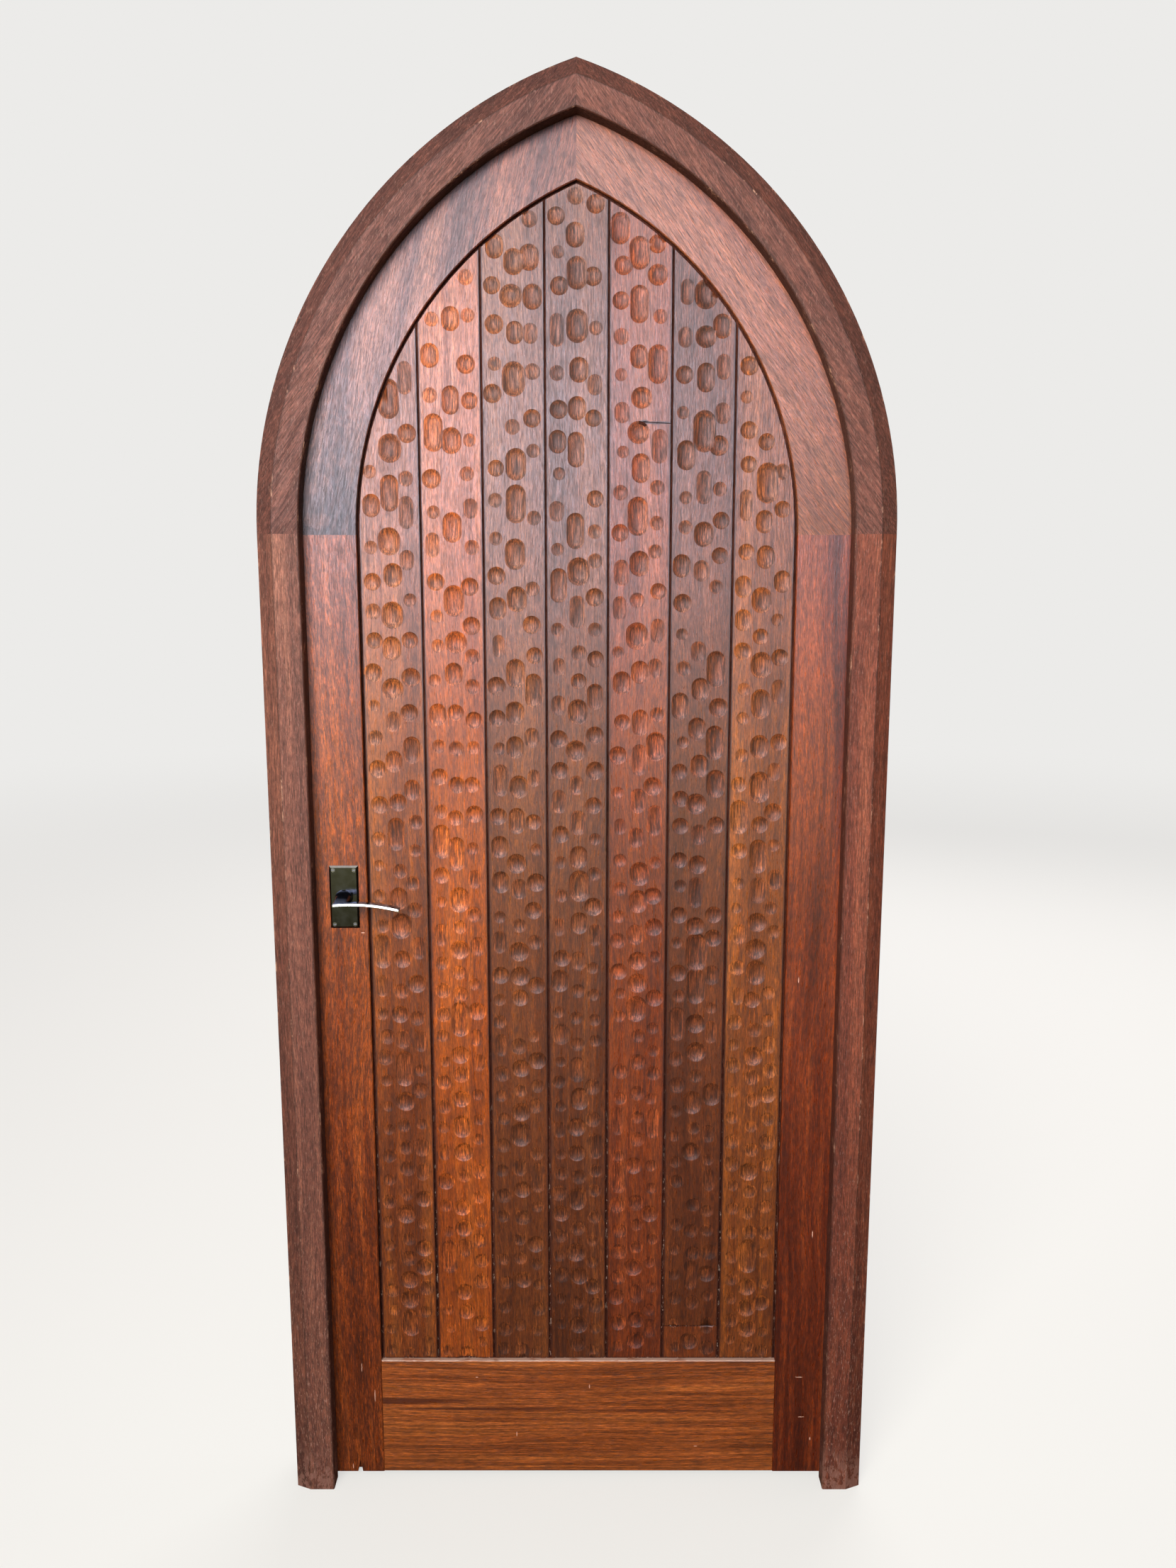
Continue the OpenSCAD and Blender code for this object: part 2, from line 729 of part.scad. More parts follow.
// The bolt's nose is bevelled on its front, so that it rides over the strike as the door shuts
module latch_bolt() {
  nose_x = leaf_edge_x - bolt_travel;
  color(brass_tone) {
    translate([0, 0, spindle_z + bolt_z - bolt_h / 2]) linear_extrude(height = bolt_h) polygon([
      [bolt_back_x, -bolt_t / 2], [bolt_back_x, bolt_t / 2], [nose_x, bolt_t / 2],
      [nose_x, bolt_t / 2 - 2], [leaf_edge_x - 1, -bolt_t / 2]
    ]);
    translate([0, 0, spindle_z + bolt_z]) rod_x(rod_d, bolt_back_x - over, hook_x + hook_t / 2);
    translate([hook_x, -rod_d / 2, spindle_z + hook_bottom])
      cube([hook_t, rod_d, bolt_z + rod_d / 2 - hook_bottom]);
  }
}

// A point on the spring's helix, and the rings that a sweep along it needs
function helix_point(t) = [
  bolt_back_x + spring_wire_d / 2 + 0.1
    + t * (lug_x - bolt_back_x - spring_wire_d - 0.2),
  (spring_d - spring_wire_d) / 2 * cos(360 * spring_turns * t),
  spindle_z + bolt_z + (spring_d - spring_wire_d) / 2 * sin(360 * spring_turns * t)
];
helix_rings = 12 * spring_turns;
helix_sides = 6;

function ring(t) = let (
  radial = [0, cos(360 * spring_turns * t), sin(360 * spring_turns * t)]
) [for (k = [0 : helix_sides - 1]) let (a = 360 * k / helix_sides)
  helix_point(t) + spring_wire_d / 2 * (cos(a) * radial + sin(a) * [1, 0, 0])];

module bolt_spring() {
  points = [for (n = [0 : helix_rings]) each ring(n / helix_rings)];
  last = helix_rings * helix_sides;
  color(steel) polyhedron(points = points, faces = concat(
    [[for (k = [0 : helix_sides - 1]) k]],
    [for (n = [0 : helix_rings - 1]) for (k = [0 : helix_sides - 1]) let (
      a = n * helix_sides + k, b = n * helix_sides + (k + 1) % helix_sides
    ) [a, a + helix_sides, b + helix_sides, b]],
    [[for (k = [helix_sides - 1 : -1 : 0]) last + k]]
  ));
}

// The follower turns with the spindle, and its arm draws the bolt's hook back
module follower() {
  arm_t = bolt_t / 2;
  color(steel) translate([spindle_x, 0, spindle_z]) difference() {
    union() {
      rod_y(follower_d, -case_t / 2 + case_wall + work_gap, case_t / 2 - case_wall - work_gap);
      rod_y(journal_d, -case_t / 2, case_t / 2);
      rotate([0, -half_turn, 0]) {
        translate([-arm_w / 2, -arm_t / 2, 0]) cube([arm_w, arm_t, arm_r]);
        translate([0, 0, arm_r]) rod_y(2 * arm_tip_r, -arm_t / 2, arm_t / 2);
      }
    }
    square_bar(spindle_s + 2 * spindle_clear, -case_t, case_t);
  }
}

module square_bar(s, y0, y1) { translate([-s / 2, y0, -s / 2]) cube([s, y1 - y0, s]); }

module spindle() {
  color(steel) translate([spindle_x, 0, spindle_z])
    square_bar(spindle_s, -spindle_l / 2, spindle_l / 2);
}

// ---------- handles ----------

// The children on the front of the leaf, or turned round to its back
module on_face(face) {
  translate([spindle_x, 0, spindle_z])
    if (face == "front") children();
    else mirror([0, 1, 0]) children();
}

module at_plate_screws() {
  for (face = ["front", "rear"]) at_face_screws(face) translate([0, 0, -plate_t]) children();
}

// Places a screw in each corner of a plate, its head flush with the plate's face
module at_face_screws(face) {
  on_face(face)
    for (sx = [-1, 1], sz = [-1, 1])
      translate([sx * plate_screw_x, plate_front_y, sz * plate_screw_z])
        rotate([90, 0, 0]) children();
}

module back_plate(face) {
  color(dark_metal) difference() {
    on_face(face) hull() {
      translate([-plate_w / 2, leaf_front_y - plate_t / 3, -plate_h / 2])
        cube([plate_w, plate_t / 3, plate_h]);
      translate([-plate_w / 2 + plate_bevel, plate_front_y, -plate_h / 2 + plate_bevel])
        cube([plate_w - 2 * plate_bevel, plate_t / 2, plate_h - 2 * plate_bevel]);
    }
    on_face(face) rod_y(plate_hole_d, plate_front_y - over, leaf_front_y + over);
    at_face_screws(face) screw_hole(small_screw_d, small_screw_l, small_screw_head_d);
  }
}

module plate_front() { back_plate("front"); }
module plate_rear() { back_plate("rear"); }

module plate_screws() {
  color(dark_metal) for (face = ["front", "rear"])
    at_face_screws(face) slotted_screw(small_screw_d, small_screw_l, small_screw_head_d);
}

// Radius of the lever's arched blade, seen from the front, that falls lever_fall over lever_l
blade_r = (lever_l * lever_l + lever_fall * lever_fall) / (2 * lever_fall);

module lever(face) {
  neck_top_y = blade_y + blade_d * 0.7;
  color(dark_metal) on_face(face) difference() {
    union() {
      rod_y(neck_d, plate_front_y - 8, leaf_front_y - 0.3);
      translate([0, plate_front_y - 8, 0]) rotate([90, 0, 0])
        cylinder(d1 = neck_d, d2 = neck_d * 0.6, h = 14, $fn = round_fn);
      rod_y(neck_d * 0.6, neck_top_y - 6, plate_front_y - 20);
      intersection() {
        translate([0, 0, -blade_r]) difference() {
          rod_y(2 * (blade_r + blade_t / 2), blade_y, blade_y + blade_d);
          rod_y(2 * (blade_r - blade_t / 2), blade_y - over, blade_y + blade_d + over);
        }
        translate([-neck_d * 0.3, blade_y - over, -lever_l / 2])
          cube([lever_l + neck_d * 0.3, blade_d + 2 * over, lever_l]);
      }
    }
    square_bar(spindle_s + 2 * spindle_clear, plate_front_y - spindle_seat, leaf_front_y + over);
    translate([0, plate_front_y - 5, -neck_d / 2 - over])
      cylinder(d = grub_d + 0.2, h = neck_d / 2 + over - spindle_s / 2, $fn = round_fn);
  }
}

module lever_front() { lever("front"); }
module lever_rear() { lever("rear"); }

module lever_grub_screws() {
  color(steel) for (face = ["front", "rear"]) on_face(face)
    translate([0, plate_front_y - 5, -spindle_s / 2 - grub_l])
      cylinder(d = grub_d, h = grub_l, $fn = round_fn);
}

jamb_left();
jamb_right();
frame_head_left();
frame_head_right();
frame_dowels();
latch_stile();
hinge_stile();
leaf_head_left();
leaf_head_right();
leaf_dowels();
bottom_rail();
ledge_lower();
ledge_upper();
board_1();
board_2();
board_3();
board_4();
board_5();
board_6();
board_7();
hinge_low_frame_leaf();
hinge_mid_frame_leaf();
hinge_top_frame_leaf();
hinge_low_door_leaf();
hinge_mid_door_leaf();
hinge_top_door_leaf();
hinge_low_pin();
hinge_mid_pin();
hinge_top_pin();
hinge_screws_frame();
hinge_screws_door();
strike_plate();
strike_screws();
latch_case();
latch_cover();
latch_forend();
forend_screws();
latch_bolt();
bolt_spring();
follower();
spindle();
plate_front();
plate_rear();
plate_screws();
lever_front();
lever_rear();
lever_grub_screws();
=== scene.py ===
# %% [markdown]
# # An arched hardwood door in its frame
# This lesson dresses a door that was drawn in CAD: a pointed arch frame, a leaf of
# seven hand-gouged boards between stiles, and a lever handle on a dark plate.
# The CAD model is the fixed frame: it says where everything is, and how it moves.
# The first cell loads it and hangs its parts on the bodies that move.

# %% Load the CAD model
import json
import math
import random

import bmesh
import bpy
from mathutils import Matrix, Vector

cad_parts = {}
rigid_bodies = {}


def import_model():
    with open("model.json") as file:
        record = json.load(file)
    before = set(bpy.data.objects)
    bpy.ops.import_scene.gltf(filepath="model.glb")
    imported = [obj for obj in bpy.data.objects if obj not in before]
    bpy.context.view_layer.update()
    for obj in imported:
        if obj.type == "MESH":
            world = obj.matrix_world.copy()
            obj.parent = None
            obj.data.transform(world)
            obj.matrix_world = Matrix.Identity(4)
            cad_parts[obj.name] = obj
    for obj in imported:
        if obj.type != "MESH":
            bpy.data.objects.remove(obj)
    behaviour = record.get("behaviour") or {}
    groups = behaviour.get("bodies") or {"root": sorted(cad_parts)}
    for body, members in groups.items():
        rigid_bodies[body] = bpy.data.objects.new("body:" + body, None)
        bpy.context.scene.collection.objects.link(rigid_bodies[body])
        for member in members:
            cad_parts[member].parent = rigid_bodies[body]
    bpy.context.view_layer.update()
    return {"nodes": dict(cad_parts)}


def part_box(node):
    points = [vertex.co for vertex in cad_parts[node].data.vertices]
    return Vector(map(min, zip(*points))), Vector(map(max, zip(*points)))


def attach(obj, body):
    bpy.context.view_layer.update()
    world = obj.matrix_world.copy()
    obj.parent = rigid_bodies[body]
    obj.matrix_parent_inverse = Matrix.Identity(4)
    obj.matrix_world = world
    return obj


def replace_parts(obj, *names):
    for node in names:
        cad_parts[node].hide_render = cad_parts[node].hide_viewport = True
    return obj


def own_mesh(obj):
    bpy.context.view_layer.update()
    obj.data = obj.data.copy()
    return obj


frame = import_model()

nodes = frame["nodes"]

# %% [markdown]
# ## Sizes that the looks need
# Most sizes can be read off a CAD node's box. The arch can't, so its numbers are
# written here once. Each side of the arch is part of a circle. The circle's middle
# lies on the springing line, on the far side of the door's centre line.

# %% Measure the door
SPRING_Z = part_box("frame_head_left")[0].z          # where the arch starts
ARC_SHIFT = 0.223344                               # from the centre line to a circle's middle
OUTER_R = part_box("jamb_right")[1].x + ARC_SHIFT    # outside of the frame
CREASE_R = OUTER_R - 0.025                         # where the frame's outer band slopes away
INNER_R = 0.433 + ARC_SHIFT                        # the frame's opening
FIELD_R = 0.3485 + ARC_SHIFT                       # the boarded field inside the stiles
FRAME_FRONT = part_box("jamb_left")[0].y
LEAF_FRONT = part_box("bottom_rail")[0].y
BOARD_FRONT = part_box("board_4")[0].y
JOINT_Y = BOARD_FRONT + 0.004                      # the floor of the joint between two boards
print("springing at", round(SPRING_Z, 3), "board face at", round(BOARD_FRONT, 4))

# %% [markdown]
# ## The camera
# The camera stands a little under two metres from the door, at eye height, and looks
# slightly down, so that the door narrows towards its foot, as a tall thing does to a
# person who stands close to it. A short lens takes in the whole arch from there.

# %% Place the camera
LOOK_DOWN = 9.05  # degrees
bpy.ops.object.camera_add(
    location=(0.0174, -1.928, 1.566), rotation=(math.radians(90 - LOOK_DOWN), 0, 0))
camera = bpy.context.object
camera.name = "camera"
camera.data.lens = 27.03
camera.data.sensor_width = 36
bpy.context.scene.camera = camera
print("camera at", tuple(round(v, 3) for v in camera.location))

# %% [markdown]
# ## Writing nodes
# Every finish here is a graph of nodes. It could be wired by hand in the shader
# editor, but a door has some thirty timbers and metals that differ only in numbers.
# So a few short functions each add one node and give back its result, and a graph is
# then written much like a sum. A plain number goes straight into a node's own socket.

# %% Tools for nodes
def srgb(r, g, b):
    """A colour picked on a 0 to 255 scale, as the linear colour that nodes expect."""
    return tuple(
        c / 12.92 if c <= 0.04045 else ((c + 0.055) / 1.055) ** 2.4
        for c in (r / 255, g / 255, b / 255)
    ) + (1.0,)


def fill(tree, node, inputs):
    """Fills sockets, by name or number, with plain values or with other nodes' outputs."""
    for name, value in inputs.items():
        if isinstance(value, bpy.types.NodeSocket):
            tree.links.new(value, node.inputs[name])
        else:
            node.inputs[name].default_value = value
    return node


def add_node(tree, kind, inputs=None, **settings):
    """Adds a shader node, sets it up and fills its sockets."""
    node = tree.nodes.new("ShaderNode" + kind)
    for name, value in settings.items():
        setattr(node, name, value)
    return fill(tree, node, inputs or {})


def figure(tree, operation, a, b=0.0):
    """A Math node's result."""
    return add_node(tree, "Math", {0: a, 1: b}, operation=operation).outputs[0]


def product(tree, first, *others):
    """All the values multiplied together."""
    for other in others:
        first = figure(tree, "MULTIPLY", first, other)
    return first


def gap(tree, value, middle):
    """How far a value is from a middle, on either side."""
    return figure(tree, "ABSOLUTE", figure(tree, "SUBTRACT", value, middle))


def axis(tree, place, name):
    """One coordinate of a place: X across the door, Y through it, Z up."""
    return add_node(tree, "SeparateXYZ", {0: place}).outputs[name]


def spread(tree, value, low, high, start=0.0, end=1.0, kind="SMOOTHSTEP"):
    """Stretches low..high over start..end, smoothly, and holds it there outside."""
    ends = {"Value": value, "From Min": low, "From Max": high, "To Min": start, "To Max": end}
    return add_node(tree, "MapRange", ends, interpolation_type=kind).outputs[0]


def blended(tree, factor, under, over, kind="MIX"):
    """A colour laid over another, by a factor from 0 to 1."""
    colours = {"Factor": factor, 6: under, 7: over}
    return add_node(tree, "Mix", colours, data_type="RGBA", blend_type=kind).outputs[2]


def ramp(tree, value, stops):
    """The colour that a value picks from a ramp of positions and colours."""
    node = add_node(tree, "ValToRGB", {0: value})
    bar = node.color_ramp.elements
    bar.remove(bar[1])
    bar[0].position, bar[0].color = stops[0]
    for position, colour in stops[1:]:
        bar.new(position).color = colour
    return node.outputs[0]


def noise(tree, place, stretch, detail=2.0, rough=0.55, twist=0.0):
    """A noise whose grains are 1/stretch long in each direction."""
    scaled = add_node(tree, "VectorMath", {0: place, 1: stretch}, operation="MULTIPLY").outputs[0]
    look = {"Scale": 1.0, "Detail": detail, "Roughness": rough, "Distortion": twist}
    return add_node(tree, "TexNoise", {"Vector": scaled, **look}).outputs[0]


def new_material(name):
    """A new node material, its tree and its main shader."""
    made = bpy.data.materials.new(name)
    made.use_nodes = True
    return made, made.node_tree, made.node_tree.nodes["Principled BSDF"]


# %% [markdown]
# ## The floor
# The floor is plain and pale. Far from the door it fades into the backdrop, so that no
# horizon runs behind the door. One paint can't do all that is wanted of it, because
# varnish shows whatever lies in front of it. So the floor answers each kind of ray in
# its own way: the camera sees pale paint, the door gets only a dim, warm light thrown
# back, and its gloss finds a warm glow some metres away, as from sunlit ground.

# %% Lay the floor
PALE = srgb(236, 235, 233)
FADE_START, FADE_END = 2.0, 11.0      # how far from the door the paint fades out
GLOW_START, GLOW_END = -2.9, -6.0     # how far in front the ground starts to glow
GLOW = 1.5
bpy.context.scene.view_settings.view_transform = "Standard"

bpy.ops.object.select_all(action="DESELECT")
bpy.ops.mesh.primitive_plane_add(size=60, location=(0, 0, 0))
floor = bpy.context.object
floor.name = "floor"
paint, tree, seen = new_material("floor_paint")
fill(tree, seen, {
    "Base Color": srgb(126, 125, 124), "Roughness": 0.9,
    "Emission Color": PALE, "Emission Strength": 0.72})
ray = add_node(tree, "LightPath").outputs
spot = add_node(tree, "TexCoord").outputs["Object"]

reach = add_node(tree, "VectorMath", {0: spot}, operation="LENGTH").outputs["Value"]
fade = spread(tree, reach, FADE_START, FADE_END)
backdrop = add_node(tree, "Emission", {"Color": PALE}).outputs[0]
shown = add_node(tree, "MixShader", {0: fade, 1: seen.outputs[0], 2: backdrop}).outputs[0]

ahead = spread(tree, axis(tree, spot, "Y"), GLOW_START, GLOW_END, 0.0, GLOW, "LINEAR")
glow = product(tree, ahead, ray["Is Glossy Ray"])
glow = add_node(tree, "Emission", {"Color": (1.0, 0.92, 0.36, 1), "Strength": glow}).outputs[0]
dim = add_node(tree, "BsdfDiffuse", {"Color": srgb(86, 70, 53)}).outputs[0]
thrown = add_node(tree, "AddShader", {0: dim, 1: glow}).outputs[0]

surface = add_node(tree, "MixShader", {0: ray["Is Camera Ray"], 1: thrown, 2: shown}).outputs[0]
fill(tree, tree.nodes["Material Output"], {"Surface": surface})
floor.data.materials.append(paint)
print("floor nodes:", len(tree.nodes))

# %% [markdown]
# ## The studio
# The world is pale where the camera looks at it, and it lights the door from above more
# than from below. A broad, cool softbox high in front gives the upper boards their pale
# sheen, and a second one above it does the same for the hollows, which look further up.
# These two add gloss alone. The key light adds none, and is warm: it shows the wood's
# own colour. Weak lights at the sides and behind keep the rest of the door readable.

# %% Make the world and the lights
world = bpy.data.worlds.new("studio")
bpy.context.scene.world = world
world.use_nodes = True
tree = world.node_tree
shown = fill(tree, tree.nodes["Background"], {"Color": PALE}).outputs[0]
height = axis(tree, add_node(tree, "TexCoord").outputs["Generated"], "Z")
sky = ramp(tree, height, [(0.0, (0.07, 0.052, 0.042, 1)), (0.6, (0.66, 0.61, 0.57, 1))])
light = add_node(tree, "Background", {"Color": sky, "Strength": 0.72}).outputs[0]
ray = add_node(tree, "LightPath").outputs
surface = add_node(tree, "MixShader", {0: ray["Is Camera Ray"], 1: light, 2: shown}).outputs[0]
fill(tree, tree.nodes["World Output"], {"Surface": surface})


def softbox(name, at, aim, size, radiance, tint, beam=180, matt=True, gloss=True):
    """An area light that faces a point. Its power is worked out from how bright it looks.
    matt and gloss say which kinds of light it adds."""
    bpy.ops.object.light_add(type="AREA", location=at)
    lamp = bpy.context.object
    lamp.name = name
    lamp.rotation_euler = (Vector(aim) - Vector(at)).to_track_quat("-Z", "Y").to_euler()
    lamp.data.shape = "RECTANGLE"
    lamp.data.size, lamp.data.size_y = size
    lamp.data.energy = radiance * math.pi * size[0] * size[1]
    lamp.data.color = tint
    lamp.data.spread = math.radians(beam)
    lamp.visible_camera = False
    lamp.visible_diffuse = matt
    lamp.visible_glossy = gloss


COOL, COOLISH, WARM = (0.86, 0.93, 1.16), (0.96, 0.97, 1.0), (1.0, 0.985, 0.86)
SIDE, BACK = (1.0, 0.97, 0.94), (1.0, 0.97, 0.93)
softbox("softbox_sheen", (-1.6, -8.0, 2.85), (-1.4, 0, 2.4), (6.6, 2.5), 12.5, COOL, matt=False)
softbox("softbox_sky", (-1.7, -8.0, 6.0), (-1.3, 0, 3.4), (7.0, 3.6), 4.2, COOLISH, matt=False)
softbox("softbox_key", (-0.9, -2.8, 2.5), (0, 0, 1.45), (1.6, 1.3), 10.0, WARM, beam=90, gloss=False)
softbox("softbox_left", (-4.0, -1.5, 2.6), (0, 0, 1.2), (2.0, 2.5), 0.5, SIDE)
softbox("softbox_right", (4.0, 0.6, 2.6), (0, 0, 1.2), (2.0, 2.5), 1.6, SIDE)
softbox("softbox_back", (1.5, 4.5, 3.6), (0, 0, 1.3), (5.0, 3.0), 5.0, BACK)

# %% [markdown]
# ## Timber
# The door is mahogany-like hardwood: broad ribbons where the grain leans one way and
# then the other, streaks and lines, small flecks and curls, hair-fine fibres and short
# dark pores. All of them run along the grain, so each is a noise that is stretched in
# one direction. One more pattern lies in thin layers parallel to the face. On a flat
# face it hardly shows, but where a gouge cuts through the layers they come out as
# rings, as on a contour map. A scanned veneer would be quicker, but it would have no
# depth to cut into. The patterns live in one node group, and every timber uses it.

# %% The grain, once for all timbers
GRAIN = {  # how many grains to a metre across, through and along, then detail and roughness
    "Ribbon": ((19, 19, 1.3), 2.0, 0.5),
    "Streak": ((95, 95, 2.6), 3.0, 0.55),
    "Fleck": ((260, 260, 60), 2.0, 0.6),
    "Curl": ((300, 300, 84), 2.0, 0.6),
    "Line": ((330, 330, 5), 2.0, 0.65),
    "Hair": ((480, 480, 40), 2.0, 0.6),
    "Fibre": ((1000, 1000, 44), 2.0, 0.6),
    "Pore": ((1250, 1250, 100), 1.0, 0.5),
    "Layer": ((34, 640, 7), 2.0, 0.5),
}
SWAY = 0.05        # how far the grain wanders sideways, in metres
CURL_TWIST = 1.4   # curls are the one pattern that doubles back on itself

grain_group = bpy.data.node_groups.new("timber_grain", "ShaderNodeTree")
sides = grain_group.interface
sides.new_socket("Place", in_out="INPUT", socket_type="NodeSocketVector")
for name in GRAIN:
    sides.new_socket(name, in_out="OUTPUT", socket_type="NodeSocketFloat")
entry = grain_group.nodes.new("NodeGroupInput").outputs[0]
leave = grain_group.nodes.new("NodeGroupOutput")
sway = figure(grain_group, "SUBTRACT", noise(grain_group, entry, (3.0, 3.0, 1.7), 1.0), 0.5)
shift = add_node(grain_group, "CombineXYZ", {0: product(grain_group, sway, SWAY)}).outputs[0]
bent = add_node(grain_group, "VectorMath", {0: entry, 1: shift}, operation="ADD").outputs[0]
for name, (stretch, detail, rough) in GRAIN.items():
    twist = CURL_TWIST if name == "Curl" else 0.0
    fill(grain_group, leave, {name: noise(grain_group, bent, stretch, detail, rough, twist)})
print("grain patterns:", list(GRAIN))


# %% [markdown]
# A single timber is three tones of one wood, chosen by the broad patterns, which the
# fine patterns then darken and brighten. Pores are dips that take in stain, so they are
# darker and rougher, and the fibres stand up a little, as bump. Local marks, such as
# streaks, dirt, wear, painted shade and painted highlights, are laid over that colour
# afterwards, each by its own cover.

# %% A timber from its three colours
def timber(name, deep, mid, pale, seed, turn=(0, 0, 0), gloss=0.31, level=0.5, relief=1.0,
           bands=0.75, hairs=0.36, flecks=0.1, curl=0.18, lines=0.08, pores=0.4):
    """A timber material. turn points the grain, seed moves the pattern, and the numbers
    say how strongly each pattern shows. Returns the parts that later steps add to."""
    made, tree, shader = new_material(name)
    where = add_node(tree, "TexCoord").outputs["Object"]
    moved = (seed * 1.37, seed * 0.61, seed * 2.11)
    place = add_node(tree, "Mapping", {"Vector": where, "Location": moved, "Rotation": turn})
    grain = add_node(tree, "Group", {0: place.outputs[0]}, node_tree=grain_group).outputs

    tone = figure(tree, "ADD", product(tree, grain["Ribbon"], 0.5), product(tree, grain["Streak"], 0.5))
    tone = spread(tree, tone, 0.5 - 0.15 / bands, 0.5 + 0.15 / bands)
    colour = ramp(tree, tone, [(0.0, srgb(*deep)), (0.5, srgb(*mid)), (1.0, srgb(*pale))])
    shade = [  # each pattern darkens and brightens the colour by its own share
        spread(tree, grain[pattern], 0.5 - half, 0.5 + half, 1 - darker, 1 + paler)
        for pattern, half, darker, paler in (
            ("Hair", 0.18, hairs, hairs * 0.8),
            ("Fibre", 0.18, hairs * 0.8, hairs * 0.6),
            ("Fleck", 0.15, flecks, flecks),
            ("Curl", 0.14, curl, curl),
            ("Line", 0.14, lines, lines * 0.7),
            ("Layer", 0.15, 0.08, 0.06),
        )
    ]
    colour = blended(tree, 1.0, colour, product(tree, *shade), "MULTIPLY")
    pore = spread(tree, grain["Pore"], 0.6, 0.67, 0.0, pores)
    colour = blended(tree, pore, colour, tuple(c * 0.25 for c in srgb(*deep)[:3]) + (1,))

    rough = spread(tree, grain["Hair"], 0.32, 0.68, gloss + 0.1, gloss - 0.04)
    rough = figure(tree, "ADD", rough, product(tree, pore, 0.15))
    height = figure(tree, "ADD", grain["Fibre"], product(tree, grain["Hair"], 0.8))
    height = figure(tree, "SUBTRACT", height, pore)
    bump = {"Strength": 0.5, "Distance": 0.0004 * relief, "Height": height}
    fill(tree, shader, {
        "Base Color": colour, "Roughness": rough, "Specular IOR Level": level,
        "Normal": add_node(tree, "Bump", bump).outputs[0]})
    return {"material": made, "tree": tree, "shader": shader,
            "colour": colour, "place": where, "grain": grain}


def lay_over(wood, cover, colour, kind="MIX"):
    """Lays a colour over a timber by a cover from 0 to 1, or multiplies it in."""
    wood["colour"] = blended(wood["tree"], cover, wood["colour"], colour, kind)
    fill(wood["tree"], wood["shader"], {"Base Color": wood["colour"]})


def patch(wood, x, z, wide, high, power=1.0):
    """A soft-edged oval on the door's front, from power in its middle to 0 at its rim."""
    tree, squares = wood["tree"], []
    for name, middle, half in (("X", x, wide), ("Z", z, high)):
        off = figure(tree, "SUBTRACT", axis(tree, wood["place"], name), middle)
        off = figure(tree, "DIVIDE", off, half)
        squares.append(product(tree, off, off))
    return spread(tree, figure(tree, "ADD", *squares), 0.1, 1.0, power, 0.0)


def dress(piece, material):
    """Gives a piece one material all over."""
    piece.data.materials.clear()
    piece.data.materials.append(material)


# %% [markdown]
# ## The boards
# Each of the seven boards is covered with hollows, struck with a round gouge in three
# rows. A hollow that is only painted looks flat from the side, so the hollows are cut:
# one small cap of a ball is modelled, copied along the rows, and taken out of the board
# with a boolean. A CAD mesh is loose triangles, so a board is copied and welded first.
# The few steps that come back again and again, such as selecting, welding and applying
# a modifier, are written once here.

# %% Tools for shaping
def take(piece):
    """Selects one piece alone, in object mode, and makes it the active one."""
    if bpy.context.object and bpy.context.object.mode != "OBJECT":
        bpy.ops.object.mode_set(mode="OBJECT")
    bpy.ops.object.select_all(action="DESELECT")
    piece.select_set(True)
    bpy.context.view_layer.objects.active = piece
    return piece


def edit_all(piece):
    """Takes a piece into edit mode with everything selected."""
    take(piece)
    bpy.ops.object.mode_set(mode="EDIT")
    bpy.ops.mesh.select_all(action="SELECT")


def choose(piece, test, kind="FACE"):
    """In edit mode, selects the faces or vertices whose middle and normal pass the test."""
    bpy.ops.mesh.select_mode(type=kind)
    bpy.ops.mesh.select_all(action="DESELECT")
    shape = bmesh.from_edit_mesh(piece.data)
    count = 0
    for part in shape.faces if kind == "FACE" else shape.verts:
        middle = part.calc_center_median() if kind == "FACE" else part.co
        if test(middle, part.normal):
            part.select = True
            count += 1
    shape.select_flush_mode()
    bmesh.update_edit_mesh(piece.data)
    return count


def finish_with(piece, kind, **settings):
    """Adds a modifier, sets it and applies it."""
    take(piece)
    step = piece.modifiers.new(kind.lower(), kind)
    for name, value in settings.items():
        setattr(step, name, value)
    bpy.ops.object.modifier_apply(modifier=step.name)
    return piece


def welded_copy(node, name):
    """A copy of a CAD node with its loose triangles joined into clean faces."""
    piece = bpy.data.objects.new(name, nodes[node].data.copy())
    bpy.context.scene.collection.objects.link(piece)
    take(piece)
    bpy.ops.mesh.customdata_custom_splitnormals_clear()
    edit_all(piece)
    bpy.ops.mesh.remove_doubles(threshold=0.00001)
    bpy.ops.mesh.dissolve_limited(angle_limit=math.radians(0.3))
    bpy.ops.object.mode_set(mode="OBJECT")
    piece.data.name = name
    return piece


# %% [markdown]
# ## The gouge
# A gouge has a rounded edge, and what it takes out is much like a slice off a ball. So
# only the ball's end is kept. There are a few dozen faces in it, because it is copied
# hundreds of times. Longer strokes are caps whose upper half is moved up.

# %% The gouge's cap, short and long
GOUGE_R = 0.030
CAP_REACH = math.radians(35)             # how much of the ball the cap keeps, from its pole
STRETCHES = (0.0, 0.006, 0.012, 0.020)   # how much longer than round a hollow can be


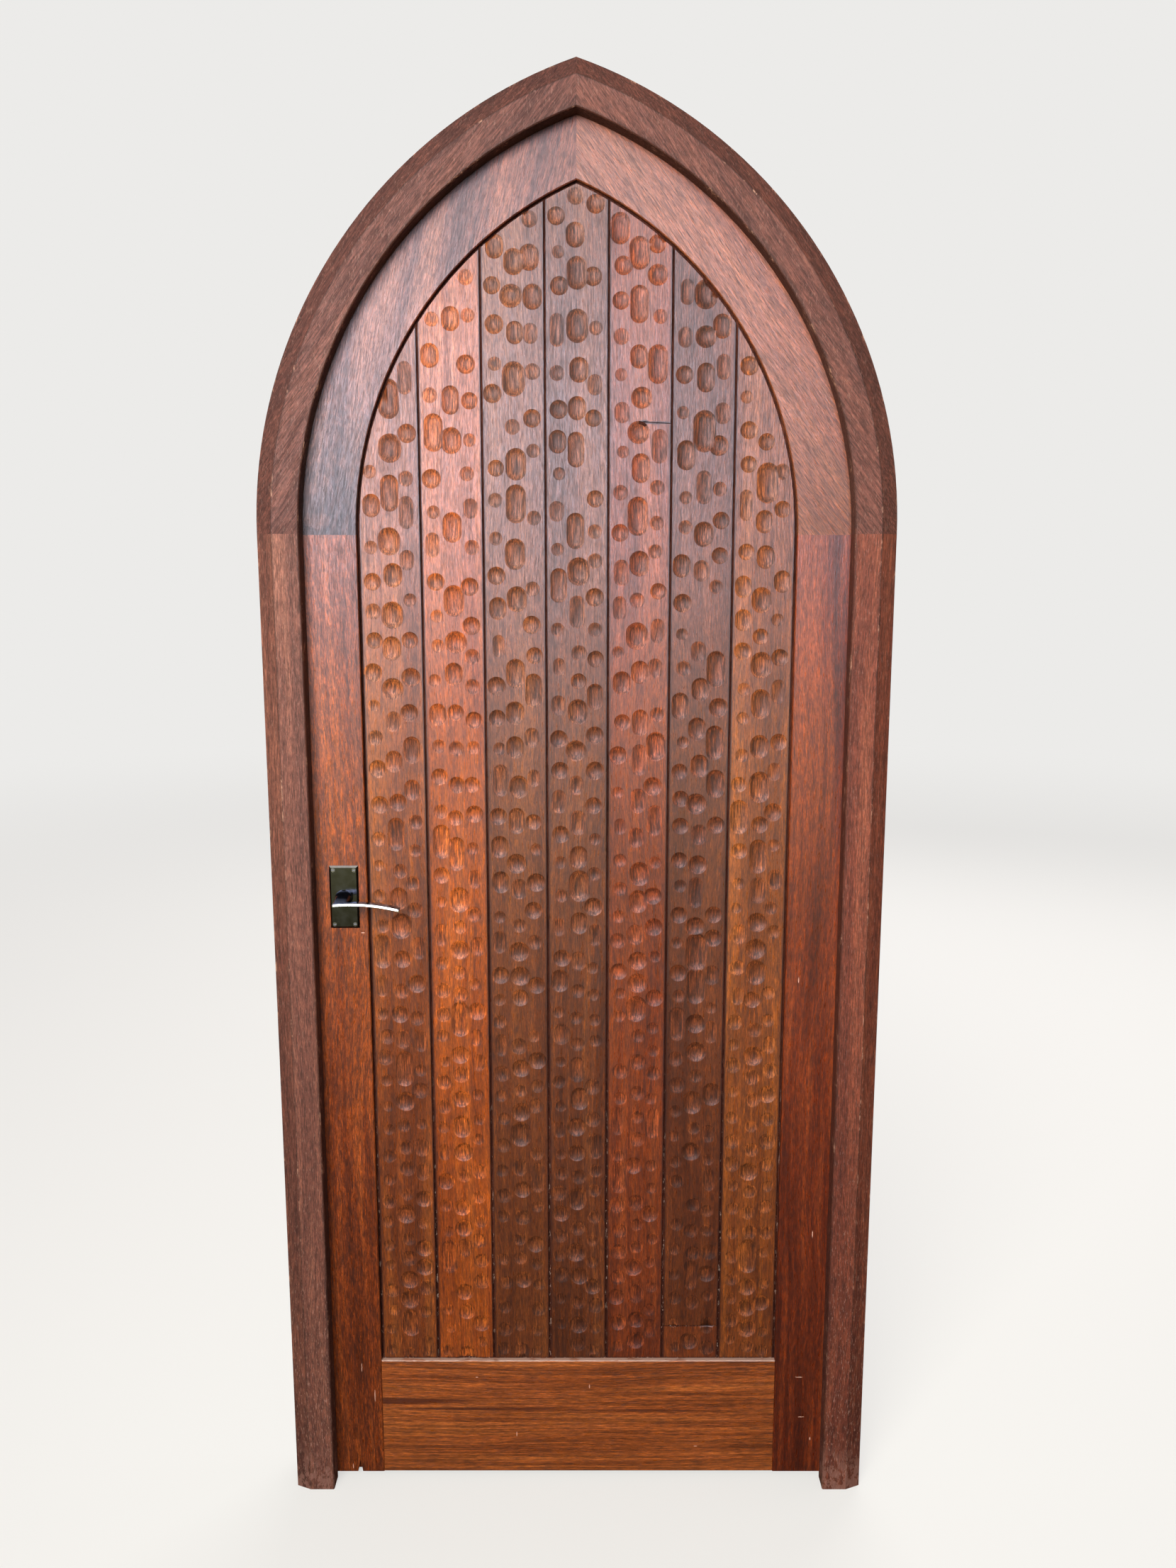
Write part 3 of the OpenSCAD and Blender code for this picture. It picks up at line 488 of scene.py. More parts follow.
def gouge(stretch):
    """The end of a gouge's ball, its open side to the front. stretch makes it longer."""
    bpy.ops.object.select_all(action="DESELECT")
    bpy.ops.mesh.primitive_uv_sphere_add(segments=22, ring_count=20, radius=GOUGE_R)
    cap = bpy.context.object
    cap.name = f"gouge_{int(stretch * 1000)}"
    edit_all(cap)
    bpy.ops.transform.rotate(value=math.pi / 2, orient_axis="X", center_override=(0, 0, 0))
    cut = (0, GOUGE_R * math.cos(CAP_REACH), 0)
    bpy.ops.mesh.bisect(plane_co=cut, plane_no=(0, 1, 0), clear_inner=True, use_fill=True)
    if stretch:
        choose(cap, lambda at, n: at.z > 0.0001, "VERT")
        bpy.ops.transform.translate(value=(0, 0, stretch))
    bpy.ops.object.mode_set(mode="OBJECT")
    cap.hide_render = True
    return cap


caps = {stretch: gouge(stretch) for stretch in STRETCHES}
print("faces of one cap:", len(caps[0.0].data.polygons))

# %% [markdown]
# The rows follow a rule and a seeded die, so each run strikes the same hollows. In the
# upper half they are deep and far apart, and the middle row is the largest. Lower down
# they are closer and shallower, as if the carver's hand had tired.

# %% Where the gouge strikes
dice = random.Random(7)
ROWS = (  # where a row is on the board's width, its hollows' radius, and the share of long ones
    (0.19, 0.0138, 0.3),
    (0.50, 0.0164, 0.75),
    (0.79, 0.0146, 0.35),
)
HAND_Z, HAND_REACH = 0.75, 0.5   # above this height the strokes grow, over this much


def clear_of(mark, x, z, stretch):
    """How far a place is from a hollow that is already there."""
    return math.hypot(mark[0] - x, max(mark[1] - z - stretch, z - mark[1] - mark[3], 0))


def strikes(low, high):
    """The hollows of one board: x, z, radius at the face, stretch, and the ball's size."""
    marks = []
    width = high.x - low.x
    for share, size, long_share in ROWS:
        z = low.z + 0.016 + dice.random() * 0.03
        while z < high.z - 0.004:
            upper = min(1.0, max(0.0, (z - HAND_Z) / HAND_REACH))
            radius = size * dice.uniform(0.74, 1.14)
            is_long = dice.random() < long_share * (0.3 + 0.7 * upper)
            stretch = dice.choice((0.006, 0.006, 0.012, 0.020)) if is_long else 0.0
            x = low.x + width * share + dice.uniform(-0.0035, 0.0035)
            near = [m for m in marks if clear_of(m, x, z, stretch) < m[2] + radius - 0.001]
            if near and dice.random() < 0.85:
                z += 0.006
                continue
            if dice.random() > 0.05:
                marks.append((x, z, radius, stretch, 1.65 - 0.25 * upper))
            z += (0.041 + 0.011 * upper) * dice.uniform(0.85, 1.2) + stretch * 0.9
    return marks


def edge_room(x, z):
    """How far a place on the boards is inside the arch's curve."""
    return FIELD_R - math.hypot(abs(x) + ARC_SHIFT, max(z - SPRING_Z, 0))


print("rows on a board:", len(ROWS), "largest radius:", max(size for _, size, _ in ROWS))

# %% [markdown]
# ## Old damage
# One board has a short crack across it, and another was pieced out near its foot, so
# that a joint shows there. Both could be drawn as dark lines, but then no edge would
# catch the light. A thin wedge, a cube with one side pinched, cuts each of them.

# %% Cracks and an open joint
NICKS = {  # board: from x, to x, height above the floor, how high, how deep, how far it slopes
    "gouged_board_5": [
        (0.104, 0.148, 1.834, 0.0019, 0.0024, 0.05),
        (0.098, 0.112, 1.836, 0.0011, 0.0014, -0.1),
    ],
    "gouged_board_6": [(0.150, 0.246, 0.2925, 0.0012, 0.0016, 0.0)],
}


def wedge(left, right, z, high, deep, slope):
    """A thin wedge that cuts a crack or an open joint: a cube whose inner side is pinched."""
    bpy.ops.object.select_all(action="DESELECT")
    bpy.ops.mesh.primitive_cube_add(size=1)
    tool = bpy.context.object
    bpy.ops.object.mode_set(mode="EDIT")
    choose(tool, lambda at, n: at.y > 0, "VERT")
    bpy.ops.transform.resize(value=(0.96, 1, 0.3), center_override=(0, 0.5, 0))
    bpy.ops.object.mode_set(mode="OBJECT")
    tool.scale = (right - left, 2 * deep, high)
    tool.rotation_euler.y = slope
    tool.location = ((left + right) / 2, BOARD_FRONT, z)
    return tool


print("damaged boards:", sorted(NICKS))

# %% [markdown]
# ## Cutting the boards
# All the caps of one board are gathered in a tray, a collection, and taken out of it in
# one go. That is far quicker than one boolean for each hollow, and it leaves clean
# rims where two hollows meet. Afterwards only the hollows are shaded smooth, so that
# each keeps a crisp rim on the flat face around it.

# %% Cut the hollows into the boards
def strike(board, marks):
    """Takes every hollow, and the board's old damage, out of it with one boolean."""
    tray = bpy.data.collections.new("strikes")
    bpy.context.scene.collection.children.link(tray)
    for x, z, radius, stretch, ball in marks:
        cut = caps[stretch].copy()
        cut.data = cut.data.copy()
        ball_r = GOUGE_R * ball
        depth = ball_r - math.sqrt(ball_r ** 2 - radius ** 2)
        cut.scale = (ball, ball, ball)
        cut.location = (x, BOARD_FRONT - ball_r + depth, z)
        tray.objects.link(cut)
    for nick in NICKS.get(board.name, []):
        tool = wedge(*nick)
        tool.users_collection[0].objects.unlink(tool)
        tray.objects.link(tool)
    bpy.context.view_layer.update()
    finish_with(board, "BOOLEAN", operation="DIFFERENCE", operand_type="COLLECTION",
                collection=tray, solver="MANIFOLD")
    for cut in list(tray.objects):
        used = cut.data
        bpy.data.objects.remove(cut)
        bpy.data.meshes.remove(used)
    bpy.data.collections.remove(tray)


def in_joint(at, facing):
    """True for a face on the sides or the floor of a joint between two boards."""
    return abs(facing.x) > 0.9 or (facing.y < -0.9 and abs(at.y - JOINT_Y) < 0.00001)


def in_hollow(at, facing):
    """True for a face that the gouge left: tilted, and between the board's face and its deepest."""
    deep = at.y - BOARD_FRONT
    tilted = 0.4 < -facing.y < 0.99999
    return tilted and 0.00002 < deep < 0.0062 and abs(at.y - JOINT_Y) > 0.00001


def smooth_hollows(board):
    """Shades the hollows smooth and leaves the flats flat, so that each rim stays crisp."""
    take(board)
    bpy.ops.object.shade_flat()
    bpy.ops.object.mode_set(mode="EDIT")
    choose(board, in_hollow)
    bpy.ops.mesh.faces_shade_smooth()
    bpy.ops.object.mode_set(mode="OBJECT")


boards, strips = [], {}
for number in range(1, 8):
    board = welded_copy(f"board_{number}", f"gouged_board_{number}")
    low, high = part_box(f"board_{number}")
    face = [v.co.x for v in board.data.vertices if abs(v.co.y - BOARD_FRONT) < 0.0001]
    low.x, high.x = min(face), max(face)
    strips[board.name] = (low.x, high.x)
    marks = [m for m in strikes(low, high) if edge_room(m[0], m[1] + m[3]) > m[2] * 0.55]
    strike(board, marks)
    smooth_hollows(board)
    boards.append(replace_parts(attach(board, "leaf"), f"board_{number}"))
    print(board.name, "from", round(low.x, 4), "to", round(high.x, 4),
          "hollows:", len(marks), "faces:", len(board.data.polygons))

# %% [markdown]
# ## Colours of the boards
# No two boards are from one tree: some are orange, some nearly plum. Each gets its own
# three tones and its own piece of grain. Its edges are darkened as painted shade, the
# shade that falls into the joints. The hollows show rougher, curlier end grain and its
# rings, so their faces get a second timber in the same tones. The joints between the
# boards get a third, nearly black above as painted shade, and full of pale grit lower
# down, where brooms and boots reach.

# %% Dress the boards
BOARD_TONES = [  # how light it is, then the deep, middle and pale tone of each board, left to right
    (0.97, (86, 39, 20), (108, 52, 26), (126, 66, 32)),
    (0.93, (113, 48, 19), (136, 63, 25), (157, 78, 32)),
    (0.93, (74, 35, 19), (94, 46, 25), (110, 58, 31)),
    (0.95, (69, 32, 18), (90, 44, 25), (107, 57, 32)),
    (0.95, (80, 32, 17), (103, 44, 23), (120, 56, 29)),
    (0.96, (63, 28, 16), (82, 38, 21), (99, 49, 27)),
    (0.96, (88, 41, 20), (110, 55, 26), (133, 71, 33)),
]
YELLOWING = 0.88          # old varnish takes some of the blue away
PIECED_Z = 0.2924         # the paler wood below the joint in the sixth board

# The joint timber's near-black tones are painted shade in the joints; the pale grit laid over it lower
# down is real dirt.
joint = timber("joint_shadow", (44, 19, 12), (56, 25, 16), (68, 33, 22), 29, gloss=0.7, level=0.08)
tree = joint["tree"]
low_down = spread(tree, axis(tree, joint["place"], "Z"), 0.9, 0.3, 0.0, 0.55)
grit = spread(tree, noise(tree, joint["place"], (300, 300, 90), 3.0, 0.7), 0.56, 0.66)
lay_over(joint, product(tree, low_down, grit), srgb(178, 150, 140))
joint_shade_and_grit = joint["material"]


def toned(tones, gain):
    """The same three tones, lighter or darker in each channel."""
    return [tuple(min(255, c * g) for c, g in zip(tone, gain)) for tone in tones]


def assign(piece, material, test):
    """Adds a material and gives it to the faces that pass the test."""
    piece.data.materials.append(material)
    take(piece)
    bpy.ops.object.mode_set(mode="EDIT")
    found = choose(piece, test)
    piece.active_material_index = len(piece.data.materials) - 1
    bpy.ops.object.material_slot_assign()
    bpy.ops.object.mode_set(mode="OBJECT")
    return found


def old_damage(wood, board):
    """Darkens the wood around the cracks and open joints of a board."""
    for left, right, z, high, deep, slope in NICKS.get(board.name, []):
        reach = high * 1.1 + abs(slope) * 0.02
        dark = patch(wood, (left + right) / 2, z, (right - left) * 0.75, reach, 0.9)
        lay_over(wood, dark, srgb(34, 15, 11))


def board_timber(number, board, tones):
    """The timber of a board's face, dark along its edges."""
    wood = timber(f"board_timber_{number}", *tones, seed=number * 3.1)
    tree = wood["tree"]
    left, right = strips[board.name]
    half = (right - left) / 2
    off = gap(tree, axis(tree, wood["place"], "X"), (left + right) / 2)
    # Painted shade: each board darkens over its last few millimetres towards the joints.
    lay_over(wood, spread(tree, off, half - 0.003, half - 0.0004, 0.0, 0.85), srgb(46, 20, 13))
    if board.name == "gouged_board_6":
        below = spread(tree, axis(tree, wood["place"], "Z"), PIECED_Z + 0.0002, PIECED_Z - 0.0002)
        lay_over(wood, below, (1.32, 1.2, 1.05, 1), "MULTIPLY")
    old_damage(wood, board)
    return wood["material"]


def hollow_timber(number, board, tones):
    """The same timber where the gouge has cut it, with its layers showing as rings."""
    wood = timber(f"hollow_timber_{number}", *toned(tones, (1.05, 1.08, 1.08)), seed=number * 3.1,
                  gloss=0.41, level=0.35, relief=1.4, hairs=0.55, curl=0.24)
    rings = spread(wood["tree"], wood["grain"]["Layer"], 0.42, 0.58, 0.8, 1.12)
    lay_over(wood, 1.0, rings, "MULTIPLY")
    old_damage(wood, board)
    return wood["material"]


def nick_faces(left, right, z, high, deep, slope):
    """A test for the faces inside one crack."""
    reach = high + abs(slope) * 0.03
    return lambda at, n: (left - 0.001 < at.x < right + 0.001 and abs(at.z - z) < reach
                          and 0.00001 < at.y - BOARD_FRONT < deep * 1.2)


for number, (board, (light_by, *tones)) in enumerate(zip(boards, BOARD_TONES), 1):
    tones = toned(tones, (light_by, light_by, light_by * YELLOWING))
    dress(board, board_timber(number, board, tones))
    cut = assign(board, hollow_timber(number, board, tones), in_hollow)
    # The faces of the joints and of the cracks get that timber, so it paints their shade.
    dark = assign(board, joint_shade_and_grit, in_joint)
    for nick in NICKS.get(board.name, []):
        dark += assign(board, joint_shade_and_grit, nick_faces(*nick))
    print(board.name, "faces in its hollows:", cut, "in its joints:", dark)

# %% [markdown]
# ## Colours of the leaf's surround
# The stiles, the bottom rail and the two curved head pieces are flat, so the CAD shapes
# stay and only their timber is made. Grain runs along each piece: up the stiles, across
# the rail, and at a slant through the head pieces, which were sawn out of straight
# planks. The rail has dark mineral streaks and a painted highlight along its top edge,
# and the left head piece is cut from swirling wood near a knot. Ovals and bands, laid
# over the timber by their place on the door, put each of these where it belongs.

# %% Dress the stiles, the rail and the head pieces
LEAN = math.radians(36)        # the slant of the grain in the curved pieces
RAIL_GRAIN = (0, math.pi / 2, 0)
RAIL_TOP = 0.228
leaf_woods = {
    "latch_stile": timber(
        "latch_stile_timber", (74, 29, 9), (101, 43, 16), (124, 59, 24), 41,
        flecks=0.2, curl=0.32, hairs=0.42),
    "hinge_stile": timber(
        "hinge_stile_timber", (60, 18, 7), (94, 36, 15), (120, 53, 23), 52, flecks=0.2),
    "bottom_rail": timber(
        "rail_timber", (106, 51, 19), (136, 70, 30), (151, 83, 37), 63, RAIL_GRAIN,
        curl=0.08, lines=0.34),
    "leaf_head_left": timber(
        "left_head_timber", (56, 30, 28), (84, 47, 38), (104, 61, 44), 74, (0, -0.2, 0),
        bands=0.8, curl=0.26),
    "leaf_head_right": timber(
        "right_head_timber", (106, 50, 28), (120, 62, 36), (134, 74, 44), 85, (0, LEAN, 0),
        bands=0.5, curl=0.18),
}

rail = leaf_woods["bottom_rail"]
for streak in (  # x, z, half its length, half its height, how dark
    (-0.34, 0.149, 0.21, 0.0085, 0.9),
    (-0.17, 0.134, 0.2, 0.0036, 0.8),
    (0.05, 0.131, 0.25, 0.0026, 0.6),
    (-0.3, 0.112, 0.12, 0.004, 0.3),
):
    lay_over(rail, patch(rail, *streak), srgb(66, 28, 15))
tree = rail["tree"]
# A painted highlight: a pale line along the rail's top edge, broken up by a noise.
edge = spread(tree, gap(tree, axis(tree, rail["place"], "Z"), RAIL_TOP), 0.0006, 0.0020, 1.0, 0.0)
highlight_breakup = spread(tree, noise(tree, rail["place"], (40, 90, 90), 3.0), 0.36, 0.5, 0.35, 0.85)
lay_over(rail, product(tree, edge, highlight_breakup), srgb(170, 138, 128))

HEAD_FADE = 0.34   # how far above the springing a head piece takes on its upper tone
HEAD_TONES = {     # the tone at the springing, and the tone above
    "leaf_head_left": ((0.46, 0.54, 0.74, 1), (1.3, 1.06, 0.95, 1)),
    "leaf_head_right": ((0.72, 0.76, 0.74, 1), (0.9, 0.92, 0.92, 1)),
}
for node, (low_tone, high_tone) in HEAD_TONES.items():
    wood = leaf_woods[node]
    tree = wood["tree"]
    rising = spread(tree, axis(tree, wood["place"], "Z"), SPRING_Z, SPRING_Z + HEAD_FADE)
    tone = blended(tree, rising, low_tone, high_tone)
    if node == "leaf_head_left":
        swirl = product(tree, noise(tree, wood["place"], (9, 9, 5), 2.0, 0.5, 1.2), 95.0)
        swirl = spread(tree, figure(tree, "SINE", swirl), -0.6, 0.8, 0.66, 1.14)
        swirl = blended(tree, rising, swirl, (0.97, 0.97, 0.97, 1))
        tone = blended(tree, 1.0, tone, swirl, "MULTIPLY")
        tone = blended(tree, patch(wood, -0.412, 1.685, 0.03, 0.014, 0.5), tone, (0.8, 0.72, 0.6, 1))
    lay_over(wood, 1.0, tone, "MULTIPLY")

# %% [markdown]
# Years of use have left short pale scratches where feet, keys and furniture touched the
# leaf. They are too shallow to model, and each is a thin oval laid over the timber.

# %% Scratch the leaf, and dress its ledges
SCRATCHES = {  # x, z, half its width, half its height
    "hinge_stile": [
        (0.392, 0.196, 0.008, 0.0012), (0.398, 0.118, 0.007, 0.001), (0.408, 0.47, 0.0012, 0.008),
        (0.371, 0.93, 0.001, 0.006), (0.415, 0.075, 0.0015, 0.004),
    ],
    "latch_stile": [
        (-0.358, 1.012, 0.004, 0.0009), (-0.384, 0.215, 0.0009, 0.010),
        (-0.362, 0.16, 0.0012, 0.014), (-0.405, 0.020, 0.001, 0.006),
    ],
    "bottom_rail": [
        (0.02, 0.178, 0.0012, 0.005), (-0.18, 0.196, 0.003, 0.0012),
        (-0.11, 0.084, 0.0012, 0.006), (0.21, 0.06, 0.004, 0.001),
    ],
}
for node, wood in leaf_woods.items():
    for mark in SCRATCHES.get(node, []):
        lay_over(wood, patch(wood, *mark, 0.85), srgb(206, 160, 146))
    dress(nodes[node], wood["material"])
for node in ("ledge_lower", "ledge_upper"):
    ledge = timber(node + "_timber", (88, 42, 24), (116, 58, 34), (134, 72, 44), 90, RAIL_GRAIN)
    dress(nodes[node], ledge["material"])
print("timbers of the leaf:", sorted(leaf_woods))

# %% [markdown]
# ## The frame
# The frame stands in the weather and has lost its gloss. Its marks follow the arch, not
# the room: the outer band, which slopes away from the light, is darkened all the way round
# as painted shade, its crease is darker, the reveal is darkened as painted shadow, and
# every arris is rubbed pale in places. So a small node group turns a place on the door
# into its distance from the arch's middle. Below the springing that runs straight down,
# so one number fits a jamb and the curved piece above it. The feet of the jambs are
# scuffed and full of grit.

# %% The distance from the arch's middle
arch_group = bpy.data.node_groups.new("arch_place", "ShaderNodeTree")
arch_group.interface.new_socket("Radius", in_out="OUTPUT", socket_type="NodeSocketFloat")
place = add_node(arch_group, "TexCoord").outputs["Object"]
side = figure(arch_group, "ABSOLUTE", axis(arch_group, place, "X"))
side = figure(arch_group, "ADD", side, ARC_SHIFT)
rise = figure(arch_group, "SUBTRACT", axis(arch_group, place, "Z"), SPRING_Z)
rise = figure(arch_group, "MAXIMUM", rise, 0.0)
square = figure(arch_group, "ADD", product(arch_group, side, side), product(arch_group, rise, rise))
fill(arch_group, arch_group.nodes.new("NodeGroupOutput"), {0: figure(arch_group, "SQRT", square)})

print("from the arch's middle to the frame's outside:", round(OUTER_R, 4))

# %% [markdown]
# The marks are laid over the timber in this order: first the band's painted shade, then
# the darker crease and the reveal's painted shadow, then the rubbed arrises, and last the
# grit and scuffs at the feet. Two noises break up the rubbed places, so that no arris is
# pale all the way, and only the front of the frame is rubbed.

# %% Dress the frame
DULL = {"gloss": 0.6, "level": 0.3}
frame_woods = {
    "jamb_left": timber("left_jamb_timber", (76, 43, 34), (98, 57, 45), (118, 73, 58), 11, **DULL),
    "jamb_right": timber("right_jamb_timber", (80, 35, 22), (102, 49, 31), (120, 64, 43), 12, **DULL),
    "frame_head_left": timber(
        "left_arch_timber", (62, 33, 26), (79, 43, 34), (95, 55, 44), 13, (0, -LEAN, 0),
        bands=0.5, **DULL),
    "frame_head_right": timber(
        "right_arch_timber", (72, 38, 29), (90, 50, 39), (106, 62, 49), 14, (0, LEAN, 0),
        bands=0.5, **DULL),
}
# The outer band's darker tone is painted shade: the band slopes away from the light.
BAND_SHADE = (0.70, 0.66, 0.66, 1)
CREASE_AND_REVEAL_DARK = ((CREASE_R, 0.0022), (INNER_R, 0.006))                          # where, and how wide
ARRISES = ((OUTER_R, 0.0035), (CREASE_R, 0.002), (INNER_R, 0.0025))


def wear_and_shade(wood, seed):
    """Adds a frame's wear and its painted shade to its timber. seed moves the rubbed places."""
    tree, place = wood["tree"], wood["place"]
    radius = add_node(tree, "Group", node_tree=arch_group).outputs["Radius"]
    band = spread(tree, radius, CREASE_R - 0.0006, CREASE_R + 0.0006)
    lay_over(wood, band, BAND_SHADE, "MULTIPLY")
    # The crease is darkened, and the reveal's darkening is painted shadow.
    for edge, half in CREASE_AND_REVEAL_DARK:
        lay_over(wood, spread(tree, gap(tree, radius, edge), 0.0, half, 0.5, 0.0), srgb(34, 18, 15))

    front = spread(tree, axis(tree, place, "Y"), FRAME_FRONT + 0.012, FRAME_FRONT + 0.022, 1.0, 0.0)
    blotch = spread(tree, noise(tree, place, (26 + seed, 26, 26), 4.0, 0.7), 0.52, 0.66)
    scratch = spread(tree, noise(tree, place, (260, 260, 60 + seed), 2.0, 0.6), 0.46, 0.6)
    for edge, half in ARRISES:
        near = spread(tree, gap(tree, radius, edge), 0.0, half, 1.0, 0.0)
        lay_over(wood, product(tree, near, front, blotch, scratch, 0.75), srgb(176, 132, 112))

    height = axis(tree, place, "Z")
    low_down = spread(tree, height, 0.75, 0.02, 0.2, 0.75)
    grit = spread(tree, noise(tree, place, (520, 520, 95), 3.0, 0.7), 0.56, 0.68)
    lay_over(wood, product(tree, low_down, grit), srgb(158, 122, 110))
    foot = spread(tree, height, 0.10, 0.02)
    scuff = spread(tree, noise(tree, place, (70, 70, 48), 4.0, 0.7), 0.46, 0.54, 0.0, 0.6)
    lay_over(wood, product(tree, foot, scuff), srgb(138, 98, 88))


for number, (node, wood) in enumerate(frame_woods.items()):
    wear_and_shade(wood, number * 2)
    dress(nodes[node], wood["material"])
dowel = timber("dowel_timber", (150, 110, 70), (176, 136, 92), (198, 160, 112), 15, gloss=0.5)
for node in ("frame_dowels", "leaf_dowels"):
    dress(nodes[node], dowel["material"])
print("timbers of the frame:", sorted(frame_woods))


# %% [markdown]
# ## Metals
# The hinges and the bolt are brass that has gone dull, the lock is plain steel, and the
# plates' screws are dark nickel. Each could be one flat colour, but real metal has been
# wiped and handled. So a soft noise smudges its tone and its gloss, and a second one,
# drawn out in one direction, is the faint brushing.

# %% Dress the ironmongery
def metal(name, colour, rough, scratches=0.08):
    """A metal with faint brushing and smudges in its gloss."""
    made, tree, shader = new_material(name)
    place = add_node(tree, "TexCoord").outputs["Object"]
    smudge = noise(tree, place, (60, 60, 60), 3.0)
    brushed = product(tree, noise(tree, place, (90, 1400, 1400), 1.0), scratches)
    tone = spread(tree, smudge, 0.3, 0.7, 0.82, 1.08)
    gloss = spread(tree, smudge, 0.3, 0.7, rough - scratches * 0.5, rough + scratches)
    fill(tree, shader, {
        "Base Color": blended(tree, 1.0, colour, tone, "MULTIPLY"),
        "Roughness": figure(tree, "ADD", gloss, brushed), "Metallic": 1.0})
    return made


METALS = {
    metal("hinge_metal", (0.62, 0.42, 0.16, 1), 0.32):
        [n for n in nodes if n.startswith("hinge_") and n != "hinge_stile"],
    metal("lock_metal", (0.45, 0.45, 0.44, 1), 0.35):
        ["latch_case", "latch_cover", "bolt_spring", "spindle", "follower", "lever_grub_screws"],
    metal("bolt_metal", (0.60, 0.43, 0.18, 1), 0.3):
        ["latch_forend", "forend_screws", "latch_bolt", "strike_plate", "strike_screws"],
    metal("screw_nickel", (0.20, 0.20, 0.22, 1), 0.2): ["plate_screws"],
}
for finish, users in METALS.items():
    for node in users:
        dress(nodes[node], finish)
    print(finish.name, "on", len(users))

# %% [markdown]
# ## The handle
# The lever and its plate are black nickel, so polished that they are a dark mirror.
# What shows is their edges: the plate's chamfer along the top, and the lever's front
# edge, which leans back a little and so throws the softbox straight at the viewer. Both
# edges also get a pale metal, a painted highlight.
# The neck starts as a rounded square on the plate and is drawn out step by step,
# flatter and flatter, until it meets the blade. The blade is one flat section spun
# about a point far below it, which is what gives it its low arch.

# %% Model the lever's neck
spindle_low, spindle_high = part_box("spindle")
SPINDLE = Vector(((spindle_low.x + spindle_high.x) / 2, 0, (spindle_low.z + spindle_high.z) / 2))
NECK_START = LEAF_FRONT - 0.001
NECK_ROUND = 0.0085      # the radius of the square's corners
NECK = (                 # y, half its width, half its height
    (-0.0335, 0.0124, 0.0112), (-0.0372, 0.0136, 0.0110), (-0.0420, 0.0130, 0.0092),
    (-0.0480, 0.0118, 0.0066), (-0.0540, 0.0108, 0.0044), (-0.0600, 0.0104, 0.0030),
    (-0.0680, 0.0102, 0.0020), (-0.0760, 0.0100, 0.0013),
)


def plane(name, at, rotation):
    """A plane of one metre, turned and placed, and left in edit mode, all selected."""
    bpy.ops.object.select_all(action="DESELECT")
    bpy.ops.mesh.primitive_plane_add(size=1, location=at, rotation=rotation)
    piece = bpy.context.object
    piece.name = name
    bpy.ops.object.transform_apply(location=True, rotation=True, scale=True)
    edit_all(piece)
    return piece


def neck():
    """The neck, drawn out of a rounded square on the plate."""
    piece = plane("lever_neck", (SPINDLE.x, NECK_START, SPINDLE.z), (math.pi / 2, 0, 0))
    (_, half_w, half_h), start = NECK[0], NECK_START
    bpy.ops.transform.resize(value=(2 * half_w, 1, 2 * half_h), center_override=SPINDLE)
    bpy.ops.mesh.bevel(offset=NECK_ROUND, segments=7, affect="VERTICES")
    for y, wide, high in NECK:
        bpy.ops.mesh.extrude_region_move(TRANSFORM_OT_translate={"value": (0, y - start, 0)})
        bpy.ops.transform.resize(
            value=(wide / half_w, 1, high / half_h), center_override=(SPINDLE.x, y, SPINDLE.z))
        start, half_w, half_h = y, wide, high
    bpy.ops.mesh.select_all(action="SELECT")
    bpy.ops.mesh.normals_make_consistent(inside=False)
    bpy.ops.object.mode_set(mode="OBJECT")
    return piece


print("spindle at", round(SPINDLE.x, 4), round(SPINDLE.z, 4))

# %% [markdown]
# The blade's section is thicker in front than behind, and the top of its front edge
# leans back. It is turned to where the arch starts and spun to where it ends. A small
# bevel softens its edges, and a boolean joins it to the neck.

# %% Model the blade, and join the two
lever_low, lever_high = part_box("lever_front")
BLADE_FRONT, BLADE_BACK = lever_low.y, lever_low.y + 0.019
BLADE_START, BLADE_END = -0.0105, lever_high.x - SPINDLE.x   # measured from the spindle
BLADE_R = 0.312              # how gently the blade arches
BLADE_CROWN = 0.020          # the arch's highest point, to the right of the spindle
BLADE_DROP = 0.0006          # how far its middle lies below the spindle there
BLADE_THICK = 0.0043         # at its front edge
BLADE_THIN = 0.55            # its back edge, as a share of that
BLADE_LEAN = 0.0014          # how far the top of the front edge leans back


def blade():
    """The arched blade: a flat section, spun about a point far below."""
    middle_y = (BLADE_FRONT + BLADE_BACK) / 2
    hub = Vector((SPINDLE.x + BLADE_CROWN, middle_y, SPINDLE.z - BLADE_DROP - BLADE_R))
    crown_z = hub.z + BLADE_R
    first = math.asin((BLADE_START - BLADE_CROWN) / BLADE_R)
    last = math.asin((BLADE_END - BLADE_CROWN) / BLADE_R)
    piece = plane("lever_blade", (hub.x, hub.y, crown_z), (0, math.pi / 2, 0))
    bpy.ops.transform.resize(
        value=(1, BLADE_BACK - BLADE_FRONT, BLADE_THICK), center_override=(hub.x, hub.y, crown_z))
    choose(piece, lambda at, n: at.y < hub.y and at.z > crown_z, "VERT")
    bpy.ops.transform.translate(value=(0, BLADE_LEAN, 0))
    choose(piece, lambda at, n: at.y > hub.y, "VERT")
    bpy.ops.transform.resize(value=(1, 1, BLADE_THIN), center_override=(hub.x, BLADE_BACK, crown_z))
    bpy.ops.mesh.select_all(action="SELECT")
    bpy.ops.transform.rotate(value=-first, orient_axis="Y", center_override=hub)
    bpy.ops.mesh.spin(steps=24, angle=first - last, center=hub, axis=(0, 1, 0))
    bpy.ops.mesh.select_all(action="SELECT")
    bpy.ops.mesh.remove_doubles(threshold=0.000001)
    bpy.ops.mesh.normals_make_consistent(inside=False)
    bpy.ops.object.mode_set(mode="OBJECT")
    return piece


